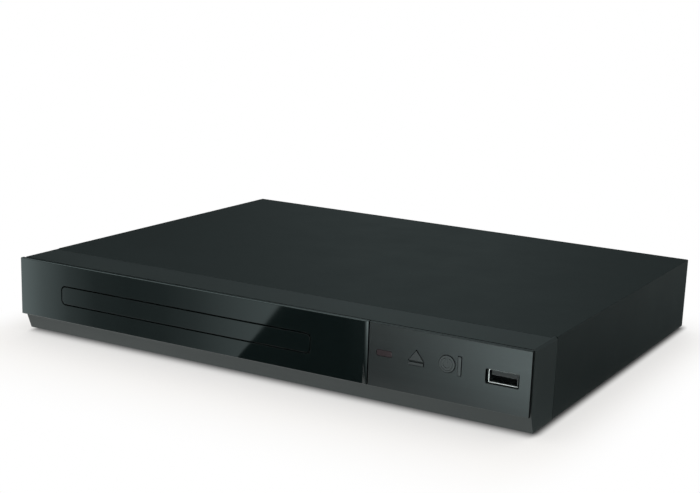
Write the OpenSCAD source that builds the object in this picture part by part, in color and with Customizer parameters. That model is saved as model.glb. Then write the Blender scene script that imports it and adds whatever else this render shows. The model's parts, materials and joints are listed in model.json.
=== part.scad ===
// A compact disc player, 270 mm wide, with a motor-driven disc tray behind a slim door.
// Millimetres. The front faces -Y, +X is to the right seen from the front and +Z is up.
// The origin lies on the surface that the feet stand on, below the middle of the whole player.

/* [Case] */
// Width of the case
body_w = 270; // [265:1:300]
// Depth of the case, from the front panel to the back edge of the cover
body_d = 210; // [208:1:240]
// Height of the case from its underside to the top of the cover
body_h = 36.5; // [36:0.5:40]
// Height of the rubber feet
foot_h = 1.5; // [1:0.5:3]
// Radius of a foot
foot_r = 8; // [5:0.5:10]
// Thickness of the painted steel cover
cover_t = 0.6; // [0.5:0.1:0.8]
// Thickness of the steel bottom and back panels
pan_t = 0.8; // [0.6:0.1:0.9]
// Depth of the moulded front's top return
top_return = 24; // [20:0.5:25]
// Depth of the moulded front's side returns
side_return = 26.5; // [26:0.5:30]
// Wall of the moulded front
wall = 1.8; // [1.4:0.1:2.2]
// Joint between the moulded front and the cover
seam = 0.3; // [0.2:0.1:0.5]
// Bevel along the upper side edges of the moulded front
edge_bevel = 0.9; // [0.6:0.1:1.6]

/* [Front panels] */
// Thickness of the gloss and the brushed panel
decor_t = 2; // [1.6:0.1:2.4]
// Height of the chin under the panels
chin_h = 8.3; // [7:0.1:9]
// Step back from the panels to the top of the chin
chin_step = 3; // [2.2:0.1:3.5]
// Step back from the panels to the bottom of the chin
chin_recess = 6.2; // [5:0.1:7]
// Width of the shadow groove behind the panels' edge
groove_w = 1; // [0.6:0.1:1.4]
// Depth of that groove
groove_depth = 1.2; // [0.8:0.1:1.5]
// Distance from the joint between the two panels to the right-hand end
keys_panel_w = 75; // [74:0.5:76]
// Width of the joint between the two panels
split_gap = 0.6; // [0.4:0.1:0.8]
// Bevel of the brushed panel along that joint
split_bevel = 0.4; // [0.2:0.1:0.5]
// Width of the gloss panel's shallow bevel along that joint
roll_off = 1.8; // [1:0.2:2.4]

/* [Tray door] */
// How far the door reaches past the tray at each end
door_margin = 5; // [4.5:0.5:6]
// Height of the tray door
door_h = 8.4; // [8.2:0.1:9]
// Corner radius of the tray door
door_r = 2; // [1:0.25:3]
// Gap round the tray door
door_gap = 0.55; // [0.45:0.05:0.7]
// Middle of the door and of the loader, from the middle of the case
loader_x = -39; // [-42:0.5:-38]
// Height of the door's middle
door_z = 23; // [22.8:0.05:23.2]

/* [Keys, window and socket in the brushed panel] */
// Distance from the joint to the middle of the red indicator window
indicator_in = 8; // [6:0.5:10]
// Height of the indicator window's middle
indicator_z = 25.3; // [24:0.1:27]
// Width of the indicator window
indicator_w = 7.6; // [5:0.1:9]
// Height of the indicator window
indicator_h = 2.8; // [1.6:0.1:3.4]
// Distance from the joint to the middle of the eject key
eject_in = 23.3; // [22:0.1:25]
// Distance between the middles of the two keys
key_pitch = 15.7; // [15.5:0.1:17]
// Height of both keys' middle
key_z = 26.1; // [24.5:0.1:27]
// How far the keys stand out of the panel
key_proud = 0.4; // [0.2:0.1:0.8]
// Gap round each key
key_gap = 0.25; // [0.2:0.05:0.35]
// Travel of the keys
key_travel = 0.6; // [0.3:0.1:0.6]
// Distance from the right-hand end to the middle of the front socket
usb_in = 12.5; // [12:0.1:14]
// Height of the front socket's middle
usb_z = 24.3; // [22:0.1:26]
// Width of the opening for the front socket
usb_w = 15.1; // [14.6:0.1:16]
// Height of the opening for the front socket
usb_h = 6.4; // [6.2:0.1:7.5]
// How far the socket's shell sits back from the panel's face
usb_recess = 1.2; // [0.6:0.1:1.6]

/* [Tray] */
// Radius of the well for large discs
well_r = 61; // [60.5:0.1:61.5]
// Radius of the well for small discs
small_well_r = 40.6; // [40.5:0.1:41]
// Distance from the front panel to the middle of the disc
disc_v = 75; // [74:0.5:76]
// Overall width of the tray
tray_w = 130; // [129:0.5:131]
// Distance from the front panel to the tray's back end
tray_end = 168; // [168:1:172]
// How far the tray runs out
tray_travel = 137; // [130:0.5:138]
// Thickness of the tray's floor
tray_floor = 1.2; // [1:0.1:1.4]

/* [Gear train] */
// Groove radius of the belt pulley
pulley_r = 10.4; // [9.6:0.1:10.8]
// Groove radius of the motor's pulley
motor_pulley_r = 2.6; // [2.4:0.1:2.8]
// Backlash between teeth, shared by the two gears
backlash = 0.24; // [0.2:0.02:0.3]
// Radius of the gear posts
post_r = 1.5; // [1.2:0.1:1.8]
// Radial clearance of a running fit
run_fit = 0.05; // [0.03:0.01:0.08]

/* [Traverse] */
// Angle between the lowered and the raised traverse
lift_angle = 5.2; // [5:0.1:5.3]
// Distance from the front panel to the traverse's pivot
pivot_v = 162; // [160:0.5:163]
// Travel of the pickup along its rods
sled_travel = 35; // [30:0.5:35]
// Travel of the slider cam
cam_travel = 16; // [15:0.5:17]
// Radius of the turntable
turntable_r = 14.5; // [13.5:0.1:15]
// Radius of the pickup's guide rods
rod_r = 1.5; // [1.2:0.1:1.6]

/* [Back] */
// How far the signal jacks stand out behind the case
jack_out = 7.5; // [6:0.5:9]
// Outer radius of a signal jack's barrel
jack_r = 4.15; // [4.1:0.05:4.2]
// Spacing of the signal jacks
jack_pitch = 14; // [12:0.5:15]
// Distance from the main board's left edge to the middle of the first signal jack
jack_in = 10; // [9:0.5:11]
// Height of the signal jacks' middle
jack_z = 17; // [16:0.5:18]
// Distance from the right-hand end to the middle of the mains inlet
inlet_in = 22; // [21:0.5:23]
// Height of the mains inlet's middle
inlet_z = 17; // [16:0.5:18]

/* [Hidden] */
$fn = 48;
eps = 0.01;

// Case
case_z = foot_h;
top_z = foot_h + body_h;
pan_top = case_z + pan_t;
front_y = -(body_d + jack_out - key_proud) / 2;
half_w = body_w / 2;
decor_bottom = case_z + chin_h;
front_wall = decor_t + 2;
back_v = body_d - 0.7;
cover_side = half_w - cover_t - 0.2;
cover_screw_z = top_z - 5.5;
cover_screw_x = [25 - half_w, 20, half_w - 11];
foot_in = 20;
slot_pitch = 7;
slot_w = 3;

// Panels, door and keys
split_x = half_w - keys_panel_w;
door_w = tray_w + 2 * door_margin;
door_bottom = door_z - door_h / 2;
door_top = door_z + door_h / 2;
door_back = 2.6;
indicator_x = split_x + indicator_in;
eject_x = split_x + eject_in;
power_x = eject_x + key_pitch;
usb_x = half_w - usb_in;
key_plate_v = front_wall + 0.3;
key_pin_x = 6.2;
key_pin_r = 0.8;
key_plate_w = 2 * (key_pin_x + key_pin_r) + 1;
tab_x = [10 - half_w, split_x, half_w - 15];
post_x = [split_x + 12, half_w - 23];
post_z = [12, 33];

// Loader
loader_half = tray_w / 2 + 5;
loader_wall = 2;
loader_floor = pan_top + 0.6;
loader_floor_t = 1.2;
floor_top = loader_floor + loader_floor_t;
loader_top = 28.8;
loader_front = 8;
loader_back = 176;
ear_u = loader_half + 3.5;
ear_t = 2.5;
loader_ears = [[-ear_u, 22], [ear_u, 22], [-ear_u, 166], [ear_u, 100]];
bridge_ends = [[-ear_u, disc_v], [ear_u, disc_v]];
bridge_t = 1.2;
bridge_half = ear_u + 4;
bridge_reach = 14;

// Tray
tray_bottom = door_bottom + 0.1;
tray_top = door_top - 0.35;
tray_skin = 1.2;
well_floor = tray_top - 3.7;
small_well_floor = well_floor - 0.8;
disc_plane = well_floor + 1.2;
rack_h = 2.6;
hook_u = 40;
hook_z = tray_top - 2.6;
hook_h = 0.8;
hook_w = 6;

// Gear train under the tray
rack_module = 1;
drive_teeth = 18;
train_module = 0.8;
reducer_teeth = 36;
idler_teeth = 24;
pinion_teeth = 12;
gear_z = floor_top + 0.5;
gear_t = 3;
drive_r = rack_module * drive_teeth / 2;
reducer_r = train_module * reducer_teeth / 2;
idler_r = train_module * idler_teeth / 2;
pinion_r = train_module * pinion_teeth / 2;
rack_u = tray_w / 2 - 5;
train_v = 24;
rack_teeth = ceil(tray_travel / (PI * rack_module)) + 3;
rack_v = train_v - 2 * PI * rack_module;
drive_u = rack_u - drive_r;
idler_u = drive_u - reducer_r - idler_r;
pulley_u = idler_u - idler_r - pinion_r;
motor_u = -25;
motor_v = 22;
motor_r = 12.2;
motor_top = 14.4;
motor_shaft_r = 1;
belt_z = 16.4;
belt_t = 1.2;
pulley_half = 1.5;

// Traverse and slider cam
pivot_z = 14;
pivot_u = 45.5;
pivot_half = 47;
plate_z = 14.3;
plate_t = 1.7;
plate_top = plate_z + plate_t;
plate_half = 42;
plate_front = 60;
plate_back = 158;
rim_h = 1.5;
cam_v = 55;
cam_t = 2.5;
cam_pins = [-28, 12];
cam_post_u = -40;
cam_post_r = 1.25;
pin_r = 1;
pin_z = 15.6;
pin_low_z = pivot_z + (pin_z - pivot_z) * cos(lift_angle) - (pivot_v - cam_v - cam_t / 2) * sin(lift_angle);

// Pickup and its drive
sled_v = 90;
sled_length = 22;
sled_top = small_well_floor - tray_floor - 0.75;
rod_z = 17.6;
rod_u = 19;
holder_t = 3;
holder_front = sled_v - 3.5;
holder_back = sled_v + sled_length + sled_travel + 2.5;
sled_rack_u = 24;
sled_rack_module = 0.8;
feed_v = 102;
feed_module = 0.5;
feed_teeth = 36;
feed_upper_teeth = 16;
sled_pinion_teeth = 12;
feed_u = sled_rack_u + sled_rack_module * feed_upper_teeth / 2;
feed_z = plate_top + 0.3;
feed_t = 1.4;
sled_motor_v = feed_v + feed_module * (feed_teeth + sled_pinion_teeth) / 2;
sled_shaft_r = 0.75;
spindle_r = 1.2;
clamp_gap = 0.7;
clamper_z = loader_top + bridge_t + 0.3;

// Boards and sockets
board_t = 1.6;
board_z = 8;
board_top = board_z + board_t;
front_board_v = 14.5;
front_board_h = 30;
switch_h = 5.6;
main_left = loader_x + loader_half + 3;
power_left = half_w - 40;
power_right = half_w - 4;
main_right = power_left - 3;
main_front = 110;
power_front = 70;
board_back = back_v - pan_t - 0.4;
standoffs = [
  [main_left + 6, main_front + 6], [main_right - 4, main_front + 6], [main_left + 6, board_back - 8],
  [power_left + 5, power_front + 6], [power_right - 4, power_front + 6],
  [power_left + 5, power_front + 90], [power_right - 4, power_front + 90]
];
jack_x = main_left + jack_in;
jack_wall = 0.6;
jack_stem_r = jack_r - 0.25;
collar_t = 1.2;
collar_r = 5.6;
av_depth = 12;
hdmi_x = main_left - 8;
hdmi_z = board_top + 3.1;
inlet_x = half_w - inlet_in;
inlet_v = back_v + 1.6;
inlet_pin_in = 4.3;
rear_screw_at = [
  [jack_x + jack_pitch / 2, jack_z + 7.6],
  [jack_x + jack_pitch * 1.5, jack_z + 7.6],
  [inlet_x - 15, inlet_z]
];

// Corner points of a rectangle with round corners, centred
function round_rect(w, h, r, n = 6) = [
  for (c = [0:3]) for (i = [0:n])
    let (a = c * 90 + i * 90 / n, sx = (c == 0 || c == 3) ? 1 : -1, sy = c < 2 ? 1 : -1)
    [sx * (w / 2 - r) + r * cos(a), sy * (h / 2 - r) + r * sin(a)]
];

module at_loader() {
  translate([loader_x, front_y, 0]) children();
}

// A slab that stands in the XZ plane, from depth v to v + t behind the front panel
module standing(x, z, v, t) {
  translate([x, front_y + v + t, z]) rotate([90, 0, 0]) linear_extrude(t) children();
}

// A box from its low corner to its high corner
module span_box(low, high) {
  translate(low) cube(high - low);
}

// A round rod along Y
module rod_y(x, z, v0, v1, r) {
  translate([x, v0, z]) rotate([-90, 0, 0]) cylinder(r = r, h = v1 - v0);
}

// Involute helpers: the polar angle gained at radius r above base radius rb
function inv_angle(rb, r) = let (q = sqrt(max((r / rb) * (r / rb) - 1, 0))) q * 180 / PI - atan(q);

function gear_points(m, teeth, steps = 4) =
  let (
    rp = m * teeth / 2,
    rb = rp * cos(20),
    tip = rp + 0.9 * m,
    root = rp - 1.25 * m,
    start = max(rb, root),
    half = (PI * m / 2 - backlash / 2) / 2 / rp * 180 / PI + inv_angle(rb, rp)
  )
  [
    for (t = [0:teeth - 1])
      let (a = t * 360 / teeth)
      each concat(
        [root * [cos(a - half), sin(a - half)]],
        [for (i = [0:steps]) let (r = start + (tip - start) * i / steps, b = a - half + inv_angle(rb, r))
          r * [cos(b), sin(b)]],
        [for (i = [steps:-1:0]) let (r = start + (tip - start) * i / steps, b = a + half - inv_angle(rb, r))
          r * [cos(b), sin(b)]],
        [root * [cos(a + half), sin(a + half)]]
      )
  ];

module gear(m, teeth, h, turn = 0) {
  rotate([0, 0, turn]) linear_extrude(h) polygon(gear_points(m, teeth));
}

// Rack teeth that point to -X, on a bar whose back is at X = back; v from the first to the last tooth
function rack_points(m, v0, count, back) =
  let (
    pitch = PI * m,
    half = (PI * m / 2 - backlash / 2) / 2,
    tip = 0.9 * m,
    root = 1.25 * m,
    slope = tan(20)
  )
  concat(
    [[back, v0 - pitch / 2]],
    [
      for (t = [0:count - 1])
        let (c = v0 + t * pitch)
        each [
          [root, c - half - root * slope],
          [-tip, c - half + tip * slope],
          [-tip, c + half - tip * slope],
          [root, c + half + root * slope]
        ]
    ],
    [[back, v0 + (count - 0.5) * pitch]]
  );

module rack(m, v0, count, back, h) {
  linear_extrude(h) polygon(rack_points(m, v0, count, back));
}

// A cross-head screw with its head on top, its shank pointing down
module screw(head_r, head_h, shank_r, shank_h) {
  difference() {
    union() {
      cylinder(r = head_r, h = head_h);
      translate([0, 0, -shank_h]) cylinder(r = shank_r, h = shank_h + eps);
    }
    // crossed recess in the head
    for (a = [0, 90])
      rotate([0, 0, a]) translate([-head_r * 0.55, -0.3, head_h - 0.7]) cube([head_r * 1.1, 0.6, 1]);
  }
}

// ---- Front ----

module frame_outline() {
  polygon([
    [decor_t, decor_bottom], [chin_step, decor_bottom], [chin_recess, case_z],
    [side_return, case_z], [side_return, top_z], [decor_t, top_z]
  ]);
}

module yz_extrude(x0, x1) {
  translate([x0, front_y, 0]) rotate([90, 0, 90]) linear_extrude(x1 - x0) children();
}

module key_outline_eject(grow = 0) {
  polygon([[-3.4 - grow * 2, -1.2 - grow], [3.4 + grow * 2, -1.2 - grow], [0, 3.2 + grow * 1.6]]);
  translate([-3.4 - grow, -3.2 - grow]) square([6.8 + 2 * grow, 1.2 + 2 * grow]);
}

module key_outline_power(grow = 0) {
  translate([-1.4, 0]) circle(r = 3.6 + grow);
  translate([3.6 - grow, -4 - grow]) square([1.4 + 2 * grow, 8 + 2 * grow]);
}

module front_openings(gap, v, t) {
  standing(loader_x, door_z, v, t) polygon(round_rect(door_w + 2 * gap, door_h + 2 * gap, door_r + gap));
}

module front_frame() {
  inner = half_w - wall;
  shell_front = chin_recess + 1.2;
  shell_floor = case_z + 1.1;
  cut_back = side_return + 1;
  lip_x = inner - 0.2;
  color([0.14, 0.15, 0.15]) difference() {
    union() {
      difference() {
        yz_extrude(-half_w, half_w) frame_outline();
        // hollow behind the front wall
        yz_extrude(-inner, inner) polygon([
          [front_wall, top_z - wall], [front_wall, decor_bottom + 2], [shell_front, shell_floor],
          [cut_back, shell_floor], [cut_back, top_z - wall]
        ]);
        // the underside is open behind its lip
        span_box(
          [-inner, front_y + loader_front + 1.5, case_z - 1],
          [inner, front_y + cut_back, shell_floor + 1]
        );
        // the top return is shorter than the side returns
        span_box([-inner, front_y + top_return, top_z - wall - 1], [inner, front_y + cut_back, top_z + 1]);
        panel_groove();
        // bevel along the upper side edges
        for (s = [-1, 1])
          translate([s * half_w, front_y + side_return / 2, top_z]) rotate([0, 45, 0])
            cube([edge_bevel * sqrt(2), side_return + 2, edge_bevel * sqrt(2)], center = true);
      }
      // lips that carry the cover's front edges
      span_box(
        [-lip_x, front_y + top_return - 3, top_z - wall - 1],
        [lip_x, front_y + top_return + 5, top_z - cover_t - 0.1]
      );
      for (s = [-1, 1])
        translate([s * lip_x, front_y + side_return + 1, (pan_top + top_z - wall) / 2])
          cube([1.6, 10, top_z - wall - pan_top - 4], center = true);
      // tabs that stand on the bottom panel
      for (x = tab_x)
        span_box([x - 7, front_y + loader_front, pan_top], [x + 7, front_y + 22, pan_top + 1.5]);
      // posts for the front board
      for (x = post_x) for (z = post_z)
        rod_y(x, z, front_y + front_wall - eps, front_y + front_board_v, 2.2);
      // guide pins of the two keys
      for (k = [eject_x, power_x]) for (s = [-1, 1])
        rod_y(k + s * key_pin_x, key_z, front_y + front_wall - eps, front_y + front_wall + 3.4, key_pin_r);
    }
    front_openings(door_gap, 0, 12);
    standing(indicator_x, indicator_z, 0, 10) polygon(round_rect(indicator_w - 1, indicator_h - 1, 0.4));
    standing(eject_x, key_z, 0, front_wall + 1) key_outline_eject(key_gap);
    standing(power_x, key_z, 0, front_wall + 1) key_outline_power(key_gap);
    standing(usb_x, usb_z, 0, 10) polygon(round_rect(usb_w - 0.4, usb_h - 0.4, 0.6));
  }
}

// Shadow groove behind the panels, along the top and both ends
module panel_groove() {
  v0 = decor_t - eps;
  v1 = decor_t + groove_w;
  span_box([-half_w - 1, front_y + v0, top_z - groove_depth], [half_w + 1, front_y + v1, top_z + 1]);
  for (s = [-1, 1])
    translate([s * (half_w - groove_depth / 2 + 0.5), front_y + (v0 + v1) / 2, (decor_bottom + top_z) / 2])
      cube([groove_depth + 1, v1 - v0, top_z - decor_bottom + 2], center = true);
}

// Side outline of a panel: its upper and lower front edges are slightly rounded
module decor_slab(x0, x1) {
  r = 0.35;
  nib = 0.1;
  yz_extrude(x0, x1) polygon([
    [decor_t, decor_bottom], [r, decor_bottom], [nib, decor_bottom + nib], [0, decor_bottom + r],
    [0, top_z - r], [nib, top_z - nib], [r, top_z], [decor_t, top_z]
  ]);
}

// A wedge off the end of a panel beside the joint: long along X, deep along Y
module joint_wedge(x, long, deep) {
  translate([x, front_y, decor_bottom - 1]) linear_extrude(top_z - decor_bottom + 2)
    polygon([[0, deep], [-long, 0], [-long, -1], [sign(long), -1], [sign(long), deep]]);
}

module gloss_panel() {
  end_x = split_x - split_gap / 2;
  color([0.05, 0.055, 0.055]) difference() {
    decor_slab(-half_w, end_x);
    front_openings(door_gap, -1, decor_t + 2);
    joint_wedge(end_x, roll_off, 0.45);
  }
}

module hairline_panel() {
  start_x = split_x + split_gap / 2;
  cut_t = decor_t + 2;
  color([0.2, 0.21, 0.22]) difference() {
    decor_slab(start_x, half_w);
    joint_wedge(start_x, -split_bevel, split_bevel);
    standing(indicator_x, indicator_z, -1, cut_t) polygon(round_rect(indicator_w, indicator_h, 0.8));
    standing(eject_x, key_z, -1, cut_t) key_outline_eject(key_gap);
    standing(power_x, key_z, -1, cut_t) key_outline_power(key_gap);
    standing(usb_x, usb_z, -1, cut_t) polygon(round_rect(usb_w, usb_h, 0.9));
  }
}

module indicator_window() {
  color([0.25, 0.04, 0.06]) {
    standing(indicator_x, indicator_z, 0.05, decor_t - 0.05)
      polygon(round_rect(indicator_w - 0.2, indicator_h - 0.2, 0.7));
    standing(indicator_x, indicator_z, decor_t - eps, 4)
      polygon(round_rect(indicator_w - 1.4, indicator_h - 1.4, 0.3));
  }
}

// Plate behind the wall that carries a key's caps, slides on two guide pins and presses a switch
module key_plate(x) {
  plate_t = 1.4;
  stem_v = front_board_v - switch_h - key_travel - 0.2;
  difference() {
    standing(x, key_z, key_plate_v, plate_t) polygon(round_rect(key_plate_w, 9, 1));
    for (pin_x = [x - key_pin_x, x + key_pin_x])
      rod_y(pin_x, key_z, front_y + key_plate_v - 1, front_y + key_plate_v + 3, key_pin_r + run_fit);
  }
  rod_y(x, key_z, front_y + key_plate_v + 1, front_y + stem_v, 1.4);
}

module eject_button() {
  color([0.24, 0.25, 0.26]) {
    key_plate(eject_x);
    standing(eject_x, key_z, -key_proud, key_plate_v + key_proud + 0.5) key_outline_eject();
  }
}

module power_button() {
  color([0.24, 0.25, 0.26]) {
    key_plate(power_x);
    difference() {
      standing(power_x, key_z, -key_proud, key_plate_v + key_proud + 0.5) key_outline_power();
      // sunk ring with a stroke, the standby sign
      standing(power_x - 1.4, key_z, -key_proud - 1, 1 + key_proud * 0.6) difference() {
        circle(r = 2.9);
        difference() {
          circle(r = 2.5);
          circle(r = 1.7);
          translate([-0.9, 0]) square([1.8, 4]);
        }
        translate([-0.35, 0.2]) square([0.7, 2.7]);
      }
    }
  }
}

// ---- Case ----

module top_cover() {
  side_v = side_return + seam;
  fold = 0.45;
  flange_h = 9;
  color([0.13, 0.14, 0.14]) difference() {
    union() {
      // top sheet
      span_box(
        [-half_w + wall + 0.1, front_y + top_return + seam, top_z - cover_t],
        [half_w - wall - 0.1, front_y + body_d, top_z]
      );
      difference() {
        span_box([-half_w, front_y + side_v, case_z + 0.3], [half_w, front_y + body_d, top_z]);
        span_box(
          [-half_w + cover_t, front_y + side_v - 1, case_z - 1],
          [half_w - cover_t, front_y + body_d + 1, top_z - cover_t]
        );
        // folded edges
        for (s = [-1, 1])
          translate([s * half_w, front_y + body_d / 2, top_z]) rotate([0, 45, 0])
            cube([fold, body_d + 40, fold], center = true);
      }
      // flange folded down over the back panel
      span_box(
        [-half_w + 4, front_y + body_d - cover_t, top_z - flange_h],
        [half_w - 4, front_y + body_d, top_z - eps]
      );
    }
    for (x = cover_screw_x)
      rod_y(x, cover_screw_z, front_y + body_d - 2, front_y + body_d + 1, 1.6);
  }
}

module bottom_chassis() {
  side_z = 13;
  side_front = side_return + 6.6;
  side_back = back_v - pan_t - 0.2;
  notch = side_return + seam;
  inner = half_w - wall - 0.2;
  color([0.55, 0.56, 0.57]) difference() {
    union() {
      // the pan, narrower between the moulded front's side returns
      span_box([-inner, front_y + loader_front + 1.8, case_z], [inner, front_y + notch + 1, pan_top]);
      span_box([-cover_side, front_y + notch, case_z], [cover_side, front_y + back_v, pan_top]);
      // upturned sides
      for (s = [-1, 1])
        translate([s * (cover_side - pan_t / 2), front_y + side_front, pan_top - eps])
          translate([-pan_t / 2, 0, 0])
            cube([pan_t, side_back - side_front, side_z - pan_top + 2 * eps]);
      // pads under the loader
      for (p = loader_ears)
        at_uv(p[0], p[1], pan_top - eps) cylinder(r = 3.4, h = loader_floor - pan_top + eps);
      // standoffs under the boards
      for (p = standoffs)
        translate([p[0], front_y + p[1], pan_top - eps]) cylinder(r = 2.6, h = board_z - pan_top + eps);
    }
    // air slots
    for (x = [main_left + 10:slot_pitch:cover_side - 10])
      span_box([x, front_y + 34, case_z - 1], [x + slot_w, front_y + 56, pan_top + 1]);
    for (p = standoffs)
      translate([p[0], front_y + p[1], case_z - 1]) cylinder(r = 1.2, h = 10);
    for (p = loader_ears) at_uv(p[0], p[1], 0) cylinder(r = 1.25, h = 10);
  }
}

module rear_panel() {
  v0 = back_v - pan_t;
  cut_v = v0 - 1;
  cut_y0 = front_y + cut_v;
  cut_y1 = front_y + back_v + 1;
  color([0.5, 0.51, 0.52]) difference() {
    span_box([-cover_side, front_y + v0, pan_top], [cover_side, front_y + back_v, top_z - cover_t - 0.2]);
    for (i = [0:2]) rod_y(jack_x + i * jack_pitch, jack_z, cut_y0, cut_y1, jack_r + 0.35);
    standing(hdmi_x, hdmi_z, cut_v, 3) square([15.6, 6.2], center = true);
    standing(inlet_x, inlet_z, cut_v, 3) polygon(round_rect(20.4, 11.4, 2.4));
    for (p = rear_screw_at) rod_y(p[0], p[1], cut_y0, cut_y1, 1.3);
    // air slots
    for (i = [0:9])
      translate([35 - half_w + i * slot_pitch, cut_y0, 12]) cube([slot_w, cut_y1 - cut_y0, 14]);
    for (x = cover_screw_x) rod_y(x, cover_screw_z, cut_y0, cut_y1, 1.3);
  }
}

module feet() {
  color([0.08, 0.08, 0.08]) for (x = [foot_in - half_w, half_w - foot_in]) for (v = [24, body_d - 18])
    translate([x, front_y + v, 0]) rotate_extrude() polygon([
      [0, 0], [foot_r - 0.8, 0], [foot_r, 0.6], [foot_r, foot_h], [0, foot_h]
    ]);
}

module back_screw(x, z, v) {
  translate([x, front_y + v, z]) rotate([-90, 0, 0]) screw(2.6, 1.4, 1.2, 5);
}

module cover_screws() {
  color([0.2, 0.2, 0.21]) for (x = cover_screw_x) back_screw(x, cover_screw_z, body_d);
}

module rear_screws() {
  color([0.2, 0.2, 0.21]) for (p = rear_screw_at) back_screw(p[0], p[1], back_v);
}

// ---- Front board ----

module front_board() {
  board_left = split_x + 1;
  board_right = half_w - 5;
  color([0.1, 0.32, 0.16]) difference() {
    standing((board_left + board_right) / 2, 21, front_board_v, board_t)
      square([board_right - board_left, front_board_h], center = true);
    for (x = post_x) for (z = post_z)
      rod_y(x, z, front_y + front_board_v - 1, front_y + front_board_v + 3, 1);
  }
}

module tact_switches() {
  body_h = switch_h - 1.4;
  color([0.12, 0.12, 0.13]) for (x = [eject_x, power_x]) {
    standing(x, key_z, front_board_v - body_h, body_h) square([6, 6], center = true);
    rod_y(x, key_z, front_y + front_board_v - switch_h, front_y + front_board_v - body_h + 0.2, 1.6);
  }
}

module usb_shell() {
  color([0.75, 0.76, 0.78]) difference() {
    standing(usb_x, usb_z, usb_recess, front_board_v - usb_recess) square([13.2, 5.7], center = true);
    standing(usb_x, usb_z, -1, front_board_v) square([12.5, 5], center = true);
    // the two spring windows in the upper wall
    for (x = [usb_x - 3, usb_x + 3])
      span_box([x - 0.8, front_y + 5, usb_z + 2], [x + 0.8, front_y + 8.5, usb_z + 4]);
  }
}

module usb_tongue() {
  block_v = front_board_v - 2.5;
  color([0.12, 0.12, 0.12]) {
    span_box(
      [usb_x - 5.6, front_y + usb_recess + 1.2, usb_z + 0.2],
      [usb_x + 5.6, front_y + block_v, usb_z + 2.1]
    );
    span_box(
      [usb_x - 6.1, front_y + block_v - eps, usb_z - 2.4],
      [usb_x + 6.1, front_y + block_v + 1.5, usb_z + 2.4]
    );
  }
}

// Flat ribbon from the front board down and back to the main board
module front_ribbon() {
  v0 = front_board_v + board_t;
  v1 = main_front + 8;
  low = board_top;
  high = low + 2.8;
  t = 0.5;
  color([0.8, 0.8, 0.78])
    translate([split_x + 4, front_y, 0]) rotate([90, 0, 90]) linear_extrude(16) polygon([
      [v0, high - 0.4], [v0 + 3, high - 0.4], [v0 + 6, low], [v0 + 60, low], [main_front, high], [v1, high],
      [v1, high + t], [main_front, high + t], [v0 + 60, low + t], [v0 + 6, low + t],
      [v0 + 3, high - 0.4 + t], [v0, high - 0.4 + t]
    ]);
}

// ---- Boards at the back ----

module main_board() {
  color([0.1, 0.32, 0.16]) difference() {
    union() {
      span_box([main_left, front_y + main_front, board_z], [main_right, front_y + board_back, board_top]);
      // strip behind the loader, under the digital socket
      span_box(
        [main_left - 22, front_y + loader_back + 4, board_z],
        [main_left + 1, front_y + board_back, board_top]
      );
      // ribbon connector
      span_box(
        [split_x + 2, front_y + main_front + 3, board_top - eps],
        [split_x + 22, front_y + main_front + 9, board_top + 2.8]
      );
    }
    for (p = standoffs) translate([p[0], front_y + p[1], board_z - 1]) cylinder(r = 1.3, h = 4);
  }
}

module chip(x, v, w, d, h) {
  span_box([x - w / 2, front_y + v - d / 2, board_top], [x + w / 2, front_y + v + d / 2, board_top + h]);
}

module main_chips() {
  color([0.08, 0.08, 0.09]) {
    chip(main_left + 28, main_front + 40, 20, 20, 1.6);
    chip(main_left + 12, main_front + 28, 12, 8, 1.2);
    chip(main_right - 10, main_front + 62, 8, 6, 1.5);
    chip(main_left + 14, main_front + 58, 8, 12, 1.2);
  }
}

module can(x, v, r, h) {
  translate([x, front_y + v, board_top]) difference() {
    cylinder(r = r, h = h);
    // crimp near the foot, and the dished top
    translate([0, 0, r * 0.35 + 0.6]) rotate_extrude() translate([r + 0.12, 0]) circle(r = 0.4);
    translate([0, 0, h - 0.2]) cylinder(r = r * 0.78, h = 1);
  }
}

module main_capacitors() {
  color([0.12, 0.14, 0.3]) {
    can(main_left + 6, main_front + 17, 3.1, 10);
    can(main_left + 16, main_front + 12, 3.1, 10);
    can(main_right - 9, main_front + 22, 3.1, 10);
    can(main_right - 9, main_front + 72, 3.1, 10);
    can(main_left + 24, board_back - av_depth - 10, 3.1, 10);
  }
}

module av_block() {
  block_w = jack_pitch * 3 - 1;
  block_left = jack_x - block_w / 2 + jack_pitch;
  v1 = back_v - pan_t - 0.2;
  v0 = v1 - av_depth;
  ear_d = 6;
  color([0.1, 0.1, 0.1]) difference() {
    union() {
      span_box([block_left, front_y + v0, board_top], [block_left + block_w, front_y + v1, jack_z + 6]);
      // screw ears above the jacks
      for (i = [0, 1])
        standing(rear_screw_at[i][0], jack_z + 7, v1 - ear_d, ear_d) square([6, 5], center = true);
    }
    for (i = [0:2])
      rod_y(jack_x + i * jack_pitch, jack_z, front_y + v0 + 2, front_y + v1 + 1, jack_stem_r + 0.05);
    for (p = rear_screw_at) rod_y(p[0], p[1], front_y + v1 - ear_d - 1, front_y + v1 + 1, 1.3);
  }
}

module jack_barrels() {
  v0 = back_v - pan_t - 10;
  step_v = back_v + collar_t;
  tip_v = body_d + jack_out;
  color([0.85, 0.85, 0.86]) for (i = [0:2]) difference() {
    union() {
      rod_y(jack_x + i * jack_pitch, jack_z, front_y + v0, front_y + step_v + eps, jack_stem_r);
      rod_y(jack_x + i * jack_pitch, jack_z, front_y + step_v, front_y + tip_v, jack_r);
    }
    rod_y(jack_x + i * jack_pitch, jack_z, front_y + v0 - 1, front_y + tip_v + 1, jack_r - jack_wall);
  }
}

// Coloured insulator inside a barrel
module jack_insulator(i) {
  x = jack_x + i * jack_pitch;
  tip_v = body_d + jack_out - 0.8;
  difference() {
    rod_y(x, jack_z, front_y + back_v - pan_t - 10, front_y + tip_v, jack_r - jack_wall);
    rod_y(x, jack_z, front_y + back_v - pan_t - 2, front_y + tip_v + 1, 1.75);
  }
}

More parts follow.
